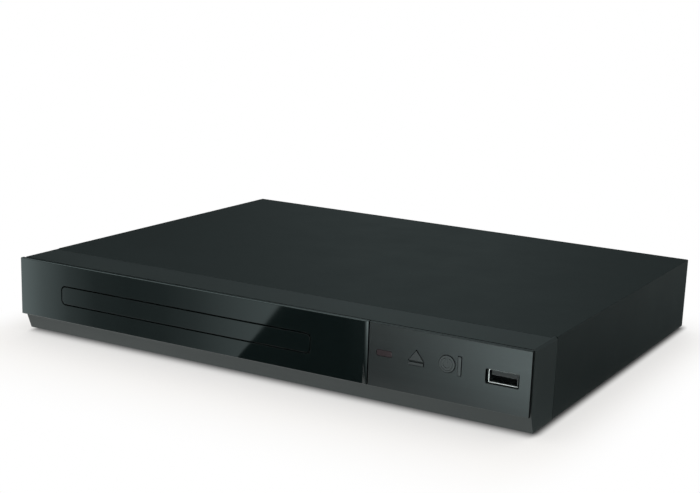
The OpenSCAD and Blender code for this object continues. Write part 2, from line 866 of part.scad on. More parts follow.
// Coloured collar round a barrel, on the back panel
module jack_collar(i) {
  x = jack_x + i * jack_pitch;
  difference() {
    rod_y(x, jack_z, front_y + back_v, front_y + back_v + collar_t, collar_r);
    rod_y(x, jack_z, front_y + back_v - 1, front_y + back_v + collar_t + 1, jack_stem_r);
  }
}

module video_insulator() {
  color([0.9, 0.75, 0.1]) {
    jack_insulator(0);
    jack_collar(0);
  }
}

module left_insulator() {
  color([0.92, 0.92, 0.9]) {
    jack_insulator(1);
    jack_collar(1);
  }
}

module right_insulator() {
  color([0.75, 0.08, 0.08]) {
    jack_insulator(2);
    jack_collar(2);
  }
}

module hdmi_section(w, h) {
  polygon([
    [-w / 2, h / 2], [-w / 2, -h / 2 + 1.6], [-w / 2 + 1.8, -h / 2],
    [w / 2 - 1.8, -h / 2], [w / 2, -h / 2 + 1.6], [w / 2, h / 2]
  ]);
}

module hdmi_shell() {
  v1 = back_v + 0.4;
  color([0.75, 0.76, 0.78]) difference() {
    standing(hdmi_x, hdmi_z, v1 - 11, 11) hdmi_section(15, 5.6);
    standing(hdmi_x, hdmi_z, v1 - 10.4, 12) hdmi_section(14.2, 4.8);
  }
}

module hdmi_tongue() {
  v0 = back_v - 10;
  color([0.1, 0.1, 0.1])
    translate([hdmi_x - 5.8, front_y + v0, hdmi_z - 0.6]) cube([11.6, back_v - 1 - v0, 1.4]);
}

module power_board() {
  color([0.6, 0.5, 0.25]) difference() {
    span_box([power_left, front_y + power_front, board_z], [power_right, front_y + board_back, board_top]);
    for (p = standoffs) translate([p[0], front_y + p[1], board_z - 1]) cylinder(r = 1.3, h = 4);
  }
}

module transformer() {
  x = power_left + 17;
  v = power_front + 50;
  color([0.75, 0.65, 0.3]) {
    // core, then the winding through it
    chip(x, v, 20, 18, 15);
    chip(x, v, 14, 24, 11);
  }
}

module power_capacitors() {
  color([0.1, 0.1, 0.12]) {
    can(power_left + 10, power_front + 76, 6.2, 19);
    can(power_left + 24, power_front + 22, 4, 14);
    can(power_left + 12, power_front + 22, 4, 14);
  }
}

module heat_sink() {
  x = power_left + 28;
  v = power_front + 74;
  color([0.7, 0.71, 0.72]) {
    chip(x, v, 2, 16, 18);
    for (i = [-2:2]) chip(x - 2.4, v + i * 3.2, 3, 1, 18);
  }
}

module mains_inlet() {
  depth = 17;
  cavity = 13;
  v0 = inlet_v - depth;
  color([0.1, 0.1, 0.1]) difference() {
    union() {
      standing(inlet_x, inlet_z, back_v + 0.05, inlet_v - back_v - 0.1) polygon(round_rect(24, 14, 3));
      standing(inlet_x, inlet_z, v0, depth) polygon(round_rect(20, 11, 2.2));
      // base that stands on the board
      span_box([inlet_x - 8, front_y + v0, board_top], [inlet_x + 8, front_y + inlet_v - 5, inlet_z - 4]);
    }
    standing(inlet_x, inlet_z, inlet_v - cavity, cavity + 1) {
      for (s = [-1, 1]) translate([s * inlet_pin_in, 0]) circle(r = 4);
      square([2 * inlet_pin_in, 6.6], center = true);
    }
    for (s = [-1, 1]) rod_y(inlet_x + s * inlet_pin_in, inlet_z, front_y + v0 - 3, front_y + inlet_v, 1.2);
  }
}

module inlet_pins() {
  color([0.8, 0.78, 0.7]) for (s = [-1, 1])
    rod_y(inlet_x + s * inlet_pin_in, inlet_z, front_y + back_v - 19, front_y + back_v - 1, 1.15);
}

// Four wires from the power board to the main board
module power_cable() {
  r = 0.7;
  x0 = main_right - 4;
  x1 = power_left + 4;
  low = board_top;
  high = low + 4.4;
  color([0.7, 0.15, 0.1]) for (i = [0:3])
    translate([0, front_y + main_front + 14 + i * 2, 0]) rotate([90, 0, 0]) translate([0, 0, -r])
      linear_extrude(2 * r) polygon([
        [x0, low], [x0, high - 1], [x0 + 1, high], [x1 - 1, high], [x1, high - 1], [x1, low],
        [x1 + 2 * r, low], [x1 + 2 * r, high - 0.4], [x1 - 0.4, high + 2 * r], [x0 + 0.4, high + 2 * r],
        [x0 - 2 * r, high - 0.4], [x0 - 2 * r, low]
      ]);
}

// ---- Loader: u is measured from the loader's middle, v from the front panel ----

function capsule(p0, p1, r, n = 8) =
  let (a = atan2(p1[1] - p0[1], p1[0] - p0[0]))
  concat(
    [for (i = [0:n]) p0 + r * [cos(a + 90 + i * 180 / n), sin(a + 90 + i * 180 / n)]],
    [for (i = [0:n]) p1 + r * [cos(a - 90 + i * 180 / n), sin(a - 90 + i * 180 / n)]]
  );

module at_uv(u, v, z = 0) {
  translate([loader_x + u, front_y + v, z]) children();
}

module loader_chassis() {
  mid_v = (loader_front + loader_back) / 2;
  length = loader_back - loader_front;
  wall_h = loader_top - loader_floor;
  pivot_top = pivot_z + 3.2;
  color([0.2, 0.2, 0.21]) difference() {
    union() {
      // floor, side walls and the ledges that the tray slides on
      at_loader()
        span_box([-loader_half, loader_front, loader_floor], [loader_half, loader_back, floor_top]);
      for (s = [-1, 1]) {
        at_uv(s * (loader_half - loader_wall / 2), mid_v, loader_floor + wall_h / 2)
          cube([loader_wall, length, wall_h], center = true);
        at_uv(s * (loader_half - 4.5), mid_v, tray_bottom - 1.35) cube([6, length, 2.2], center = true);
        // hold-down tabs over the tray's edges
        for (v = [20, 125])
          at_uv(s * (loader_half - 4), v, tray_top + 1) cube([5, 12, 1.3], center = true);
        // bearings of the traverse
        at_uv(s * pivot_u, pivot_v, (floor_top + pivot_top) / 2)
          cube([3, 8, pivot_top - floor_top + 2 * eps], center = true);
      }
      // low back wall
      at_loader() span_box(
        [-loader_half, loader_back - 2, loader_floor],
        [loader_half, loader_back, tray_bottom - 2]
      );
      // fixing ears and the columns under the clamp bridge
      for (p = loader_ears) at_uv(p[0], p[1], loader_floor) {
        cylinder(r = 4, h = ear_t);
        translate([p[0] > 0 ? -4.5 : 0, -4, 0]) cube([4.5, 8, ear_t]);
      }
      for (p = bridge_ends)
        at_uv(p[0], p[1], loader_floor + wall_h / 2) cube([8, 8, wall_h], center = true);
      // gear posts and the collars under the gears
      at_uv(drive_u, train_v) cylinder_from(loader_floor, tray_bottom + rack_h + 0.3, post_r);
      at_uv(idler_u, train_v) cylinder_from(loader_floor, gear_z + gear_t + 0.8, post_r);
      at_uv(pulley_u, train_v) cylinder_from(loader_floor, belt_z + pulley_half + 0.4, post_r);
      for (u = [drive_u, idler_u, pulley_u])
        at_uv(u, train_v) cylinder_from(loader_floor, gear_z - 0.1, 2 * post_r);
      // rails of the slider cam
      for (v = [cam_v - 0.8, cam_v + cam_t + 0.8])
        at_uv(-8, v, floor_top + 0.45) cube([90, 1, 1], center = true);
    }
    // opening under the traverse, and the hole of the loading motor
    at_loader() span_box(
      [-plate_half - 1.5, cam_v + cam_t + 1.4, 0],
      [plate_half + 1.5, pivot_v + 5, floor_top + 1]
    );
    at_uv(motor_u, motor_v) cylinder(r = motor_r + 0.3, h = 10);
    for (s = [-1, 1])
      at_uv(s * pivot_u, pivot_v, pivot_z)
        rotate([0, 90, 0]) cylinder(r = rod_r + run_fit, h = 6, center = true);
    for (p = loader_ears) at_uv(p[0], p[1], 0) cylinder(r = 1.3, h = 10);
    for (p = bridge_ends) at_uv(p[0], p[1], loader_top - 8) cylinder(r = 1.25, h = 10);
  }
}

module loader_screws() {
  color([0.25, 0.25, 0.26]) {
    for (p = loader_ears) at_uv(p[0], p[1], loader_floor + ear_t) screw(3, 1.4, 1.2, ear_t + 0.9);
    for (p = bridge_ends) at_uv(p[0], p[1], loader_top + bridge_t) screw(3, 1.4, 1.2, 6);
  }
}

module clamp_bridge() {
  cut_z = loader_top - 1;
  color([0.6, 0.61, 0.62]) difference() {
    at_loader() span_box(
      [-bridge_half, disc_v - bridge_reach, loader_top],
      [bridge_half, disc_v + bridge_reach, loader_top + bridge_t]
    );
    at_uv(0, disc_v, cut_z) cylinder(r = 12.6, h = 4);
    for (p = bridge_ends) at_uv(p[0], p[1], cut_z) cylinder(r = 1.4, h = 4);
    for (s = [-1, 1])
      at_uv(s * (bridge_half + 12.6) / 2, disc_v, cut_z) linear_extrude(4) polygon(round_rect(34, 12, 3));
    // cut corners
    for (s = [-1, 1]) for (e = [-1, 1])
      at_uv(s * bridge_half, disc_v + e * bridge_reach, loader_top) rotate([0, 0, 45])
        cube([10, 10, 6], center = true);
  }
}

module clamper() {
  z0 = tray_top + clamp_gap;
  z1 = clamper_z;
  color([0.85, 0.85, 0.82]) at_uv(0, disc_v) rotate_extrude() polygon([
    [0, z0 + 1.8], [7.9, z0 + 1.8], [8.6, z0], [12, z0], [12, z1], [15.5, z1], [15.5, z1 + 1],
    [9.4, z1 + 1], [9.4, z1 + 2.2], [8.4, z1 + 2.2], [8.4, z1], [0, z1]
  ]);
}

module clamp_magnet() {
  color([0.3, 0.3, 0.32]) at_uv(0, disc_v, clamper_z) difference() {
    cylinder(r = 8.3, h = 1.8);
    translate([0, 0, -1]) cylinder(r = 3, h = 4);
  }
}

module loading_motor() {
  color([0.65, 0.66, 0.67]) at_uv(motor_u, motor_v) {
    cylinder_from(pan_top + 0.2, motor_top, motor_r);
    cylinder_from(floor_top, floor_top + 0.8, motor_r + 1.8);
    cylinder_from(motor_top - eps, motor_top + 0.4, 3);
    cylinder_from(motor_top, belt_z + 1.8, motor_shaft_r);
  }
}

module cylinder_from(z0, z1, r, sides = $fn) {
  translate([0, 0, z0]) cylinder(r = r, h = z1 - z0, $fn = sides);
}

// A pulley with a groove for the belt, round the belt's height
module pulley(r) {
  difference() {
    cylinder_from(belt_z - pulley_half, belt_z + pulley_half, r + 1);
    difference() {
      cylinder_from(belt_z - 0.8, belt_z + 0.8, r + 3);
      cylinder_from(belt_z - 1, belt_z + 1, r);
    }
  }
}

module motor_pulley() {
  color([0.9, 0.88, 0.8]) at_uv(motor_u, motor_v) difference() {
    pulley(motor_pulley_r);
    cylinder_from(belt_z - 3, belt_z + 3, motor_shaft_r + run_fit);
  }
}

// The belt's outline round both pulleys, taken in by an inset all round and made taller by it
module belt_loop(inset) {
  loop_h = belt_t + inset / 5;
  hull() {
    at_uv(motor_u, motor_v, belt_z - loop_h / 2)
      cylinder(r = motor_pulley_r + 0.15 + belt_t - inset, h = loop_h, $fn = 40);
    at_uv(pulley_u, train_v, belt_z - loop_h / 2)
      cylinder(r = pulley_r + 0.15 + belt_t - inset, h = loop_h, $fn = 40);
  }
}

module drive_belt() {
  color([0.07, 0.07, 0.07]) difference() {
    belt_loop(0);
    belt_loop(belt_t);
  }
}

module belt_pulley() {
  color([0.9, 0.88, 0.8]) at_uv(pulley_u, train_v) difference() {
    union() {
      translate([0, 0, gear_z]) gear(train_module, pinion_teeth, gear_t);
      cylinder_from(gear_z + gear_t - eps, belt_z - pulley_half + eps, 4);
      pulley(pulley_r);
    }
    cylinder_from(0, 30, post_r + run_fit);
  }
}

module idler_gear() {
  color([0.85, 0.85, 0.8]) at_uv(idler_u, train_v) difference() {
    translate([0, 0, gear_z]) gear(train_module, idler_teeth, gear_t, 180 / idler_teeth);
    cylinder_from(0, 30, post_r + run_fit);
    for (a = [0:60:300]) rotate([0, 0, a]) translate([5, 0, gear_z - 1]) cylinder(r = 1.4, h = gear_t + 2);
  }
}

module drive_gear() {
  color([0.9, 0.9, 0.86]) at_uv(drive_u, train_v) difference() {
    union() {
      translate([0, 0, gear_z]) gear(train_module, reducer_teeth, gear_t);
      cylinder_from(gear_z + gear_t - eps, tray_bottom + 0.25, 4);
      translate([0, 0, tray_bottom + 0.2]) gear(rack_module, drive_teeth, rack_h - 0.3, 180 / drive_teeth);
    }
    cylinder_from(0, 30, post_r + run_fit);
    // holes that lighten the web
    for (a = [0:60:300])
      rotate([0, 0, a]) translate([8.6, 0, gear_z - 1]) cylinder(r = 2.2, h = gear_t + 2);
  }
}

// ---- Tray ----

module disc_tray() {
  half = tray_w / 2;
  rib_u = rack_u + 1.6;
  lane_top = tray_bottom + rack_h + 0.1;
  track_front = cam_v + cam_t + 2;
  track_half = 2.6;
  track_top = small_well_floor - 0.2;
  color([0.16, 0.16, 0.17]) difference() {
    union() {
      difference() {
        at_loader() span_box([-half, door_back, tray_bottom], [half, tray_end, tray_top]);
        // hollow underside, up to the top skin
        at_loader() span_box(
          [-half + 1.5, door_back + 2, tray_bottom - 1],
          [half - 1.5, tray_end - 2, tray_top - tray_skin]
        );
      }
      // wall and floor of the wells
      difference() {
        at_uv(0, disc_v) cylinder_from(well_floor - tray_skin, tray_top - eps, well_r + tray_skin, 96);
        for (s = [-1, 1])
          at_uv(s * (half + 10 - eps), disc_v, well_floor) cube([20, 2 * well_r, 40], center = true);
      }
      at_uv(0, disc_v) cylinder_from(small_well_floor - tray_floor, well_floor, small_well_r + tray_skin);
      // rack under the right-hand edge, on a rib that reaches the top skin
      at_loader() translate([rack_u, 0, tray_bottom])
        rack(rack_module, rack_v, rack_teeth, rib_u - rack_u + 2, rack_h);
      at_loader() span_box(
        [rib_u, rack_v - 1.6, tray_bottom],
        [half - 1.4, tray_end - 1, tray_top - tray_skin + eps]
      );
      // track of the cam post, and the stop that keeps the tray shut while the traverse is up
      for (s = [-1, 1])
        at_loader() span_box(
          [cam_post_u + s * track_half - 0.5, track_front, tray_bottom],
          [cam_post_u + s * track_half + 0.5, tray_end - 1, track_top]
        );
      at_loader() span_box(
        [cam_post_u + track_half, track_front - 0.8, tray_bottom],
        [cam_post_u + cam_travel + 3, track_front + 0.2, track_top]
      );
    }
    at_uv(0, disc_v) cylinder_from(well_floor, top_z, well_r, 96);
    at_uv(0, disc_v) cylinder_from(small_well_floor, top_z, small_well_r, 96);
    // window for the turntable and the pickup
    at_uv(0, disc_v) cylinder_from(0, top_z, turntable_r + 2.7);
    at_loader() span_box([-16.8, disc_v, 0], [16.8, disc_v + well_r - 4, top_z]);
    at_loader() span_box([-9, disc_v + 50, 0], [9, disc_v + well_r + 3.5, well_floor + 0.2]);
    // slots for the hooks of the door
    for (s = [-1, 1])
      at_uv(s * hook_u - hook_w / 2 - 0.2, door_back - 1, hook_z - 0.2)
        cube([hook_w + 0.4, 4, hook_h + 0.4]);
    // finger hollow at the front
    at_uv(0, disc_v - well_r + 4) cylinder_from(well_floor, top_z, 17);
    // lane of the drive gear, open at the back
    at_loader() span_box(
      [drive_u - drive_r - 1.5, 10, tray_bottom - 1],
      [rack_u - 1.2, tray_end + 1, lane_top]
    );
    at_loader() span_box(
      [drive_u, tray_end - 2 - eps, tray_bottom - 1],
      [rib_u, tray_end + 1, lane_top]
    );
    // the back wall clears the cam post
    at_loader() span_box(
      [cam_post_u - track_half + 0.5, cam_v, tray_bottom - 1],
      [cam_post_u + track_half - 0.5, tray_end + 1, tray_bottom + 2.4]
    );
  }
}

module tray_door() {
  color([0.05, 0.055, 0.055]) {
    standing(loader_x, door_z, 0, door_back) polygon(round_rect(door_w, door_h, door_r));
    // hooks that reach in under the tray's front skin
    for (s = [-1, 1]) at_uv(s * hook_u - hook_w / 2, door_back - eps, hook_z) cube([hook_w, 1.5, hook_h]);
  }
}

// ---- Lift and traverse ----

module slider_cam() {
  low_z = floor_top + 0.2;
  high_z = tray_bottom - 0.7;
  left = cam_post_u - 10;
  right = 20;
  slot_r = pin_r + 0.3;
  cut_v = cam_v - 1;
  cut_t = cam_t + 2;
  color([0.85, 0.83, 0.75]) {
    difference() {
      standing(loader_x, 0, cam_v, cam_t) polygon([
        [left, low_z], [right, low_z], [right, high_z - 3], [right - 3, high_z],
        [left + 3, high_z], [left, high_z - 3]
      ]);
      // slanted slots that lift the traverse's pins
      for (u = cam_pins)
        standing(loader_x, 0, cut_v, cut_t)
          polygon(capsule([u, pin_low_z], [u - cam_travel, pin_z], slot_r));
    }
    // post that runs in the tray's track
    at_uv(cam_post_u, cam_v + cam_t / 2) cylinder_from(high_z - eps, high_z + 2.6, cam_post_r);
  }
}

// Parts of the traverse are drawn level, as when playing, then lowered about the pivot
module lowered() {
  translate([loader_x, front_y + pivot_v, pivot_z]) rotate([lift_angle, 0, 0])
    translate([0, -pivot_v, -pivot_z]) children();
}

module traverse_frame() {
  rim_z = plate_top + rim_h;
  rim_t = 1.6;
  arm_u = 32;
  color([0.3, 0.3, 0.31]) lowered() difference() {
    union() {
      difference() {
        span_box([-plate_half, plate_front, plate_z], [plate_half, plate_back, rim_z]);
        span_box(
          [-plate_half + rim_t, plate_front + rim_t, plate_top],
          [plate_half - rim_t, plate_back - rim_t, rim_z + 1]
        );
      }
      // rod holders
      for (s = [-1, 1]) for (v = [holder_front, holder_back])
        span_box([s * rod_u - 2.2, v, plate_top - eps], [s * rod_u + 2.2, v + holder_t, rod_z + 0.6]);
      // pins that ride in the slider cam
      for (u = cam_pins) rod_y(u, pin_z, cam_v - 0.4, plate_front + 1, pin_r);
      // pivot shaft and its arms
      translate([0, pivot_v, pivot_z])
        rotate([0, 90, 0]) cylinder(r = rod_r, h = 2 * pivot_half, center = true);
      for (s = [-1, 1])
        translate([s * arm_u, (plate_back + pivot_v) / 2 + 0.3, pivot_z + 0.6])
          cube([6, pivot_v - plate_back + 3, 2.6], center = true);
      // post of the feed gear
      translate([feed_u, feed_v, 0]) cylinder_from(plate_z, feed_z + feed_t + 2.5, post_r);
    }
    // window of the pickup
    span_box([-sled_rack_u, sled_v - 0.5, plate_z - 1], [sled_rack_u - 2, holder_back, plate_top + 0.1]);
    // lightening window
    span_box([-plate_half + 2, sled_v, plate_z - 1], [-plate_half + 12, sled_v + 40, plate_top + 0.1]);
    for (s = [-1, 1]) rod_y(s * rod_u, rod_z, holder_front - 0.5, plate_back, rod_r);
    translate([feed_u, sled_motor_v, plate_z - 1]) cylinder(r = 2, h = 5);
  }
}

module damper_bushings() {
  bushing_u = plate_half - 7;
  color([0.1, 0.1, 0.1]) lowered()
    for (u = [-bushing_u, bushing_u], v = [plate_front + 7, plate_back - 8])
      translate([u, v, plate_top]) rotate_extrude() polygon([
        [1.6, 0], [4, 0], [4, 0.9], [3.2, 1.2], [4, 1.5], [4, 2.2], [1.6, 2.2]
      ]);
}

module spindle_motor() {
  hub_z = plate_top + 5.6;
  color([0.7, 0.71, 0.72]) lowered() translate([0, disc_v, 0]) {
    cylinder_from(plate_top, hub_z, 12.3);
    cylinder_from(hub_z - 0.1, hub_z + 0.4, 4);
    cylinder_from(hub_z - 0.1, disc_plane + 1, spindle_r);
  }
}

module turntable() {
  z = disc_plane;
  color([0.15, 0.15, 0.15]) lowered() translate([0, disc_v, 0]) difference() {
    rotate_extrude() polygon([
      [0, z - 1.7], [turntable_r - 2, z - 1.7], [turntable_r, z - 1], [turntable_r, z], [7.4, z],
      [7.4, z + 0.5], [4, z + 1.35], [0, z + 1.35]
    ]);
    cylinder_from(z - 3, z + 1.1, spindle_r + run_fit);
  }
}

module guide_rods() {
  color([0.8, 0.81, 0.82]) lowered() for (s = [-1, 1])
    rod_y(s * rod_u, rod_z, holder_front, holder_back + holder_t, rod_r);
}

module pickup_sled() {
  v0 = sled_v;
  v1 = sled_v + sled_length;
  low = rod_z - 2.6;
  fork_top = min(rod_z + rod_r + 0.1, sled_top);
  rack_z = rod_z + 0.3;
  color([0.45, 0.46, 0.48]) lowered() difference() {
    union() {
      span_box([-rod_u - 4, v0, low], [15.5, v1, sled_top]);
      span_box([15, v0 + 6, low], [rod_u + 1.6, v0 + 17, rod_z + 2.6]);
      // arm and rack beside the far rod
      span_box([14, v0 + 6, rod_z + rod_r + 0.3], [sled_rack_u - 1, v0 + 15, sled_top]);
      translate([sled_rack_u, 0, rack_z]) mirror([1, 0, 0])
        rack(sled_rack_module, feed_v - 16 * PI * sled_rack_module, 18, 2.3, sled_top - rack_z);
    }
    rod_y(-rod_u, rod_z, v0 - 1, v1 + 1, rod_r + run_fit);
    // fork round the second rod
    span_box([rod_u - rod_r - 0.3, v0 - 1, rod_z - rod_r - 0.1], [rod_u + 11, v1 + 1, fork_top]);
    // hollow underside
    span_box([-12, v0 + 3, low - 0.4], [10, v1 - 3, rod_z - 1]);
  }
}

module pickup_lens() {
  z = sled_top;
  color([0.35, 0.4, 0.6]) lowered() translate([0, sled_v + 9, 0]) rotate_extrude() polygon([
    [0, z], [4.4, z], [4.4, z + 1.4], [3.2, z + 1.4],
    [3.2, z + 1.7], [2.4, z + 1.95], [1.2, z + 2.15], [0, z + 2.2]
  ]);
}

module sled_motor() {
  color([0.65, 0.66, 0.67]) lowered() translate([feed_u, sled_motor_v, 0]) {
    cylinder_from(plate_z - 6, plate_z, 6);
    cylinder_from(plate_z - 1, plate_top + 2, sled_shaft_r);
  }
}

module sled_pinion() {
  color([0.9, 0.88, 0.8]) lowered() translate([feed_u, sled_motor_v, feed_z]) difference() {
    gear(feed_module, sled_pinion_teeth, feed_t, 90 + 180 / sled_pinion_teeth);
    translate([0, 0, -1]) cylinder(r = sled_shaft_r + run_fit, h = 4);
  }
}

module feed_gear() {
  color([0.85, 0.85, 0.8]) lowered() translate([feed_u, feed_v, 0]) difference() {
    union() {
      translate([0, 0, feed_z]) gear(feed_module, feed_teeth, feed_t, 90);
      translate([0, 0, feed_z + feed_t - 0.1])
        gear(sled_rack_module, feed_upper_teeth, 2.2, 180 / feed_upper_teeth);
    }
    cylinder_from(10, 30, post_r + run_fit);
  }
}

front_frame();
gloss_panel();
hairline_panel();
indicator_window();
eject_button();
power_button();
top_cover();
bottom_chassis();
rear_panel();
feet();
cover_screws();
rear_screws();
front_board();
tact_switches();
usb_shell();
usb_tongue();
front_ribbon();
main_board();
main_chips();
main_capacitors();
av_block();
jack_barrels();
video_insulator();
left_insulator();
right_insulator();
hdmi_shell();
hdmi_tongue();
power_board();
transformer();
power_capacitors();
heat_sink();
mains_inlet();
inlet_pins();
power_cable();
loader_chassis();
loader_screws();
clamp_bridge();
clamper();
clamp_magnet();
loading_motor();
motor_pulley();
drive_belt();
belt_pulley();
idler_gear();
drive_gear();
disc_tray();
tray_door();
slider_cam();
traverse_frame();
damper_bushings();
spindle_motor();
turntable();
guide_rods();
pickup_sled();
pickup_lens();
sled_motor();
sled_pinion();
feed_gear();
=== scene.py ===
"""Looks of a slim disc player with a motor-driven tray: finishes, softened edges, small details and stage."""

import json
import math
from collections import namedtuple

import bpy
from mathutils import Matrix, Vector


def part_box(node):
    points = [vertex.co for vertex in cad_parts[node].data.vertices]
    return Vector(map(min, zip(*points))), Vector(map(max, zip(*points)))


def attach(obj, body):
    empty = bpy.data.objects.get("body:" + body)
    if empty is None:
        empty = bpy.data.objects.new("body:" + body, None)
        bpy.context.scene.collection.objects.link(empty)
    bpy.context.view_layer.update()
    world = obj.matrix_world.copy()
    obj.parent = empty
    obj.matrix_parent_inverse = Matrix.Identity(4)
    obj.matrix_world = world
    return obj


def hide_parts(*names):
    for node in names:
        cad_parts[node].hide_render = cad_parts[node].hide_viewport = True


bl_info = {
    "name": "Disc player looks",
    "version": (1, 0, 0),
    "blender": (4, 5, 0),
    "location": "View3D > Sidebar > Disc player",
    "description": "Finishes, softened edges, fine details and a studio stage for a slim disc player",
    "category": "Object",
}

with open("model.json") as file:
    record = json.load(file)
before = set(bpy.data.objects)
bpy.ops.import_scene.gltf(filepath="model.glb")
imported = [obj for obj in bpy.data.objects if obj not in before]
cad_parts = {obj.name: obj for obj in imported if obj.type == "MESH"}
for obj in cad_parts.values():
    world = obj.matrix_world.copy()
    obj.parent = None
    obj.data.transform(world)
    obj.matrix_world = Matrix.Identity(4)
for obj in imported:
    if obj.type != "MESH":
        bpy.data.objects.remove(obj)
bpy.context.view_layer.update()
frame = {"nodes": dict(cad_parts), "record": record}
NODES = frame["nodes"]

# Which slot of the record each node takes its finish from
NODE_SLOTS = {row["node"]: row["material_slot"] for row in frame["record"]["subparts"]}
NODE_BODIES = {
    node: body
    for body, nodes in frame["record"]["behaviour"]["bodies"].items()
    for node in nodes
}

# Places that several pieces and the camera share, from the frame itself
PANEL_LOW, PANEL_HIGH = (Vector(corner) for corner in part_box("gloss_panel"))
CASE_LOW, CASE_HIGH = (Vector(corner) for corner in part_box("top_cover"))
FRONT_Y = PANEL_LOW.y
TOP_Z = PANEL_HIGH.z
CASE_WIDTH = CASE_HIGH.x - CASE_LOW.x


# ---- Settings ----

class PlayerFinishSettings(bpy.types.PropertyGroup):
    """Colours and surface values of the player."""

    moulded_black: bpy.props.FloatVectorProperty(
        name="Moulded black", description="Colour of the moulded front frame",
        subtype="COLOR", size=3, default=(0.018, 0.0245, 0.0245), min=0, max=1,
    )
    gloss_black: bpy.props.FloatVectorProperty(
        name="Gloss black", description="Colour of the polished panel and the tray door",
        subtype="COLOR", size=3, default=(0.0042, 0.0074, 0.0074), min=0, max=1,
    )
    brushed_grey: bpy.props.FloatVectorProperty(
        name="Brushed grey", description="Colour of the panel with the keys",
        subtype="COLOR", size=3, default=(0.0135, 0.018, 0.0186), min=0, max=1,
    )
    cover_paint: bpy.props.FloatVectorProperty(
        name="Cover paint", description="Colour of the painted steel cover",
        subtype="COLOR", size=3, default=(0.0095, 0.0150, 0.0150), min=0, max=1,
    )
    hairline_scale: bpy.props.FloatProperty(
        name="Hairlines", description="About how many brushed lines there are to a metre",
        default=2600, min=200, max=9000,
    )


class PlayerShapeSettings(bpy.types.PropertyGroup):
    """Edge radii of the outer pieces."""

    moulding_edge: bpy.props.FloatProperty(
        name="Moulding edge", description="Edge radius of the moulded pieces",
        default=0.00025, min=0, max=0.001, unit="LENGTH",
    )
    panel_edge: bpy.props.FloatProperty(
        name="Panel edge", description="Edge radius of the decorative panels and the tray door",
        default=0.00018, min=0, max=0.0006, unit="LENGTH",
    )
    key_edge: bpy.props.FloatProperty(
        name="Key edge", description="Edge radius of the keys",
        default=0.00018, min=0, max=0.0006, unit="LENGTH",
    )
    cover_edge: bpy.props.FloatProperty(
        name="Cover edge", description="Edge radius of the painted steel cover",
        default=0.00012, min=0, max=0.0003, unit="LENGTH",
    )


class PlayerStageSettings(bpy.types.PropertyGroup):
    """Camera, lamps, floor and reflector cards."""

    lens: bpy.props.FloatProperty(
        name="Lens", description="Focal length for a 36 mm wide sensor",
        default=0.0704, min=0.02, max=0.3, unit="LENGTH",
    )
    azimuth: bpy.props.FloatProperty(
        name="Azimuth", description="How far the camera stands round to the right",
        default=math.radians(28.04), subtype="ANGLE",
    )
    elevation: bpy.props.FloatProperty(
        name="Elevation", description="How far the camera looks down",
        default=math.radians(14.31), subtype="ANGLE",
    )
    roll: bpy.props.FloatProperty(
        name="Roll", description="Turn of the picture about the line of sight",
        default=math.radians(-2.38), subtype="ANGLE",
    )
    camera_offset: bpy.props.FloatVectorProperty(
        name="Camera place", description="Camera from the front panel's top left corner, in case widths",
        size=3, default=(1.7238, -1.8053, 0.5647),
    )
    shift: bpy.props.FloatVectorProperty(
        name="Shift", description="Lens shift that gives the photograph's framing",
        size=2, default=(-0.0605, 0.0746),
    )
    floor_white: bpy.props.FloatProperty(
        name="Floor", description="Paleness of the floor", default=0.86, min=0, max=1,
    )
    key_power: bpy.props.FloatProperty(
        name="Top light", description="Power of the large soft light overhead",
        default=5.0, min=0, unit="POWER",
    )
    fill_power: bpy.props.FloatProperty(
        name="Fill light", description="Power of the soft light from the front",
        default=1.6, min=0, unit="POWER",
    )
    ambient: bpy.props.FloatProperty(
        name="Ambient light", description="Brightness of the even light from all round",
        default=0.92, min=0, max=2,
    )
    surround: bpy.props.FloatProperty(
        name="Surround", description="Brightness of the studio that the surfaces mirror",
        default=0.13, min=0, max=1,
    )


# ---- Small tools ----

def settings():
    """The settings of finishes, shapes and stage."""
    scene = bpy.context.scene
    return scene.player_finish, scene.player_shape, scene.player_stage


def deselect_all():
    if bpy.context.object and bpy.context.object.mode != "OBJECT":
        bpy.ops.object.mode_set(mode="OBJECT")
    bpy.ops.object.select_all(action="DESELECT")


def make_active(piece):
    deselect_all()
    piece.select_set(True)
    bpy.context.view_layer.objects.active = piece


def apply_modifiers(piece):
    make_active(piece)
    for modifier in list(piece.modifiers):
        bpy.ops.object.modifier_apply(modifier=modifier.name)


def settle(piece):
    """Puts a piece's place into its mesh, as a frame node's is."""
    make_active(piece)
    bpy.ops.object.transform_apply(location=True, rotation=True, scale=True)


MATERIALS = {}


def slot_material(node):
    """The finish of a node's slot."""
    return MATERIALS[NODE_SLOTS[node]]


def dress(piece, node, material):
    """Rides a new piece on its node's body and gives it a finish."""
    piece.data.materials.clear()
    piece.data.materials.append(material)
    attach(piece, NODE_BODIES[node])


def paint_faces(piece, material, chosen):
    """Puts a second finish on the faces whose normals are chosen."""
    piece.data.materials.append(material)
    for face in piece.data.polygons:
        if chosen(face.normal):
            face.material_index = len(piece.data.materials) - 1


# Copies are cleaned of the exact solids' fine triangles before their edges are rounded
WELD = 2e-6
FLAT_ANGLE = math.radians(0.6)
EDGE_ANGLE = math.radians(35)
SMOOTH_ANGLE = math.radians(30)


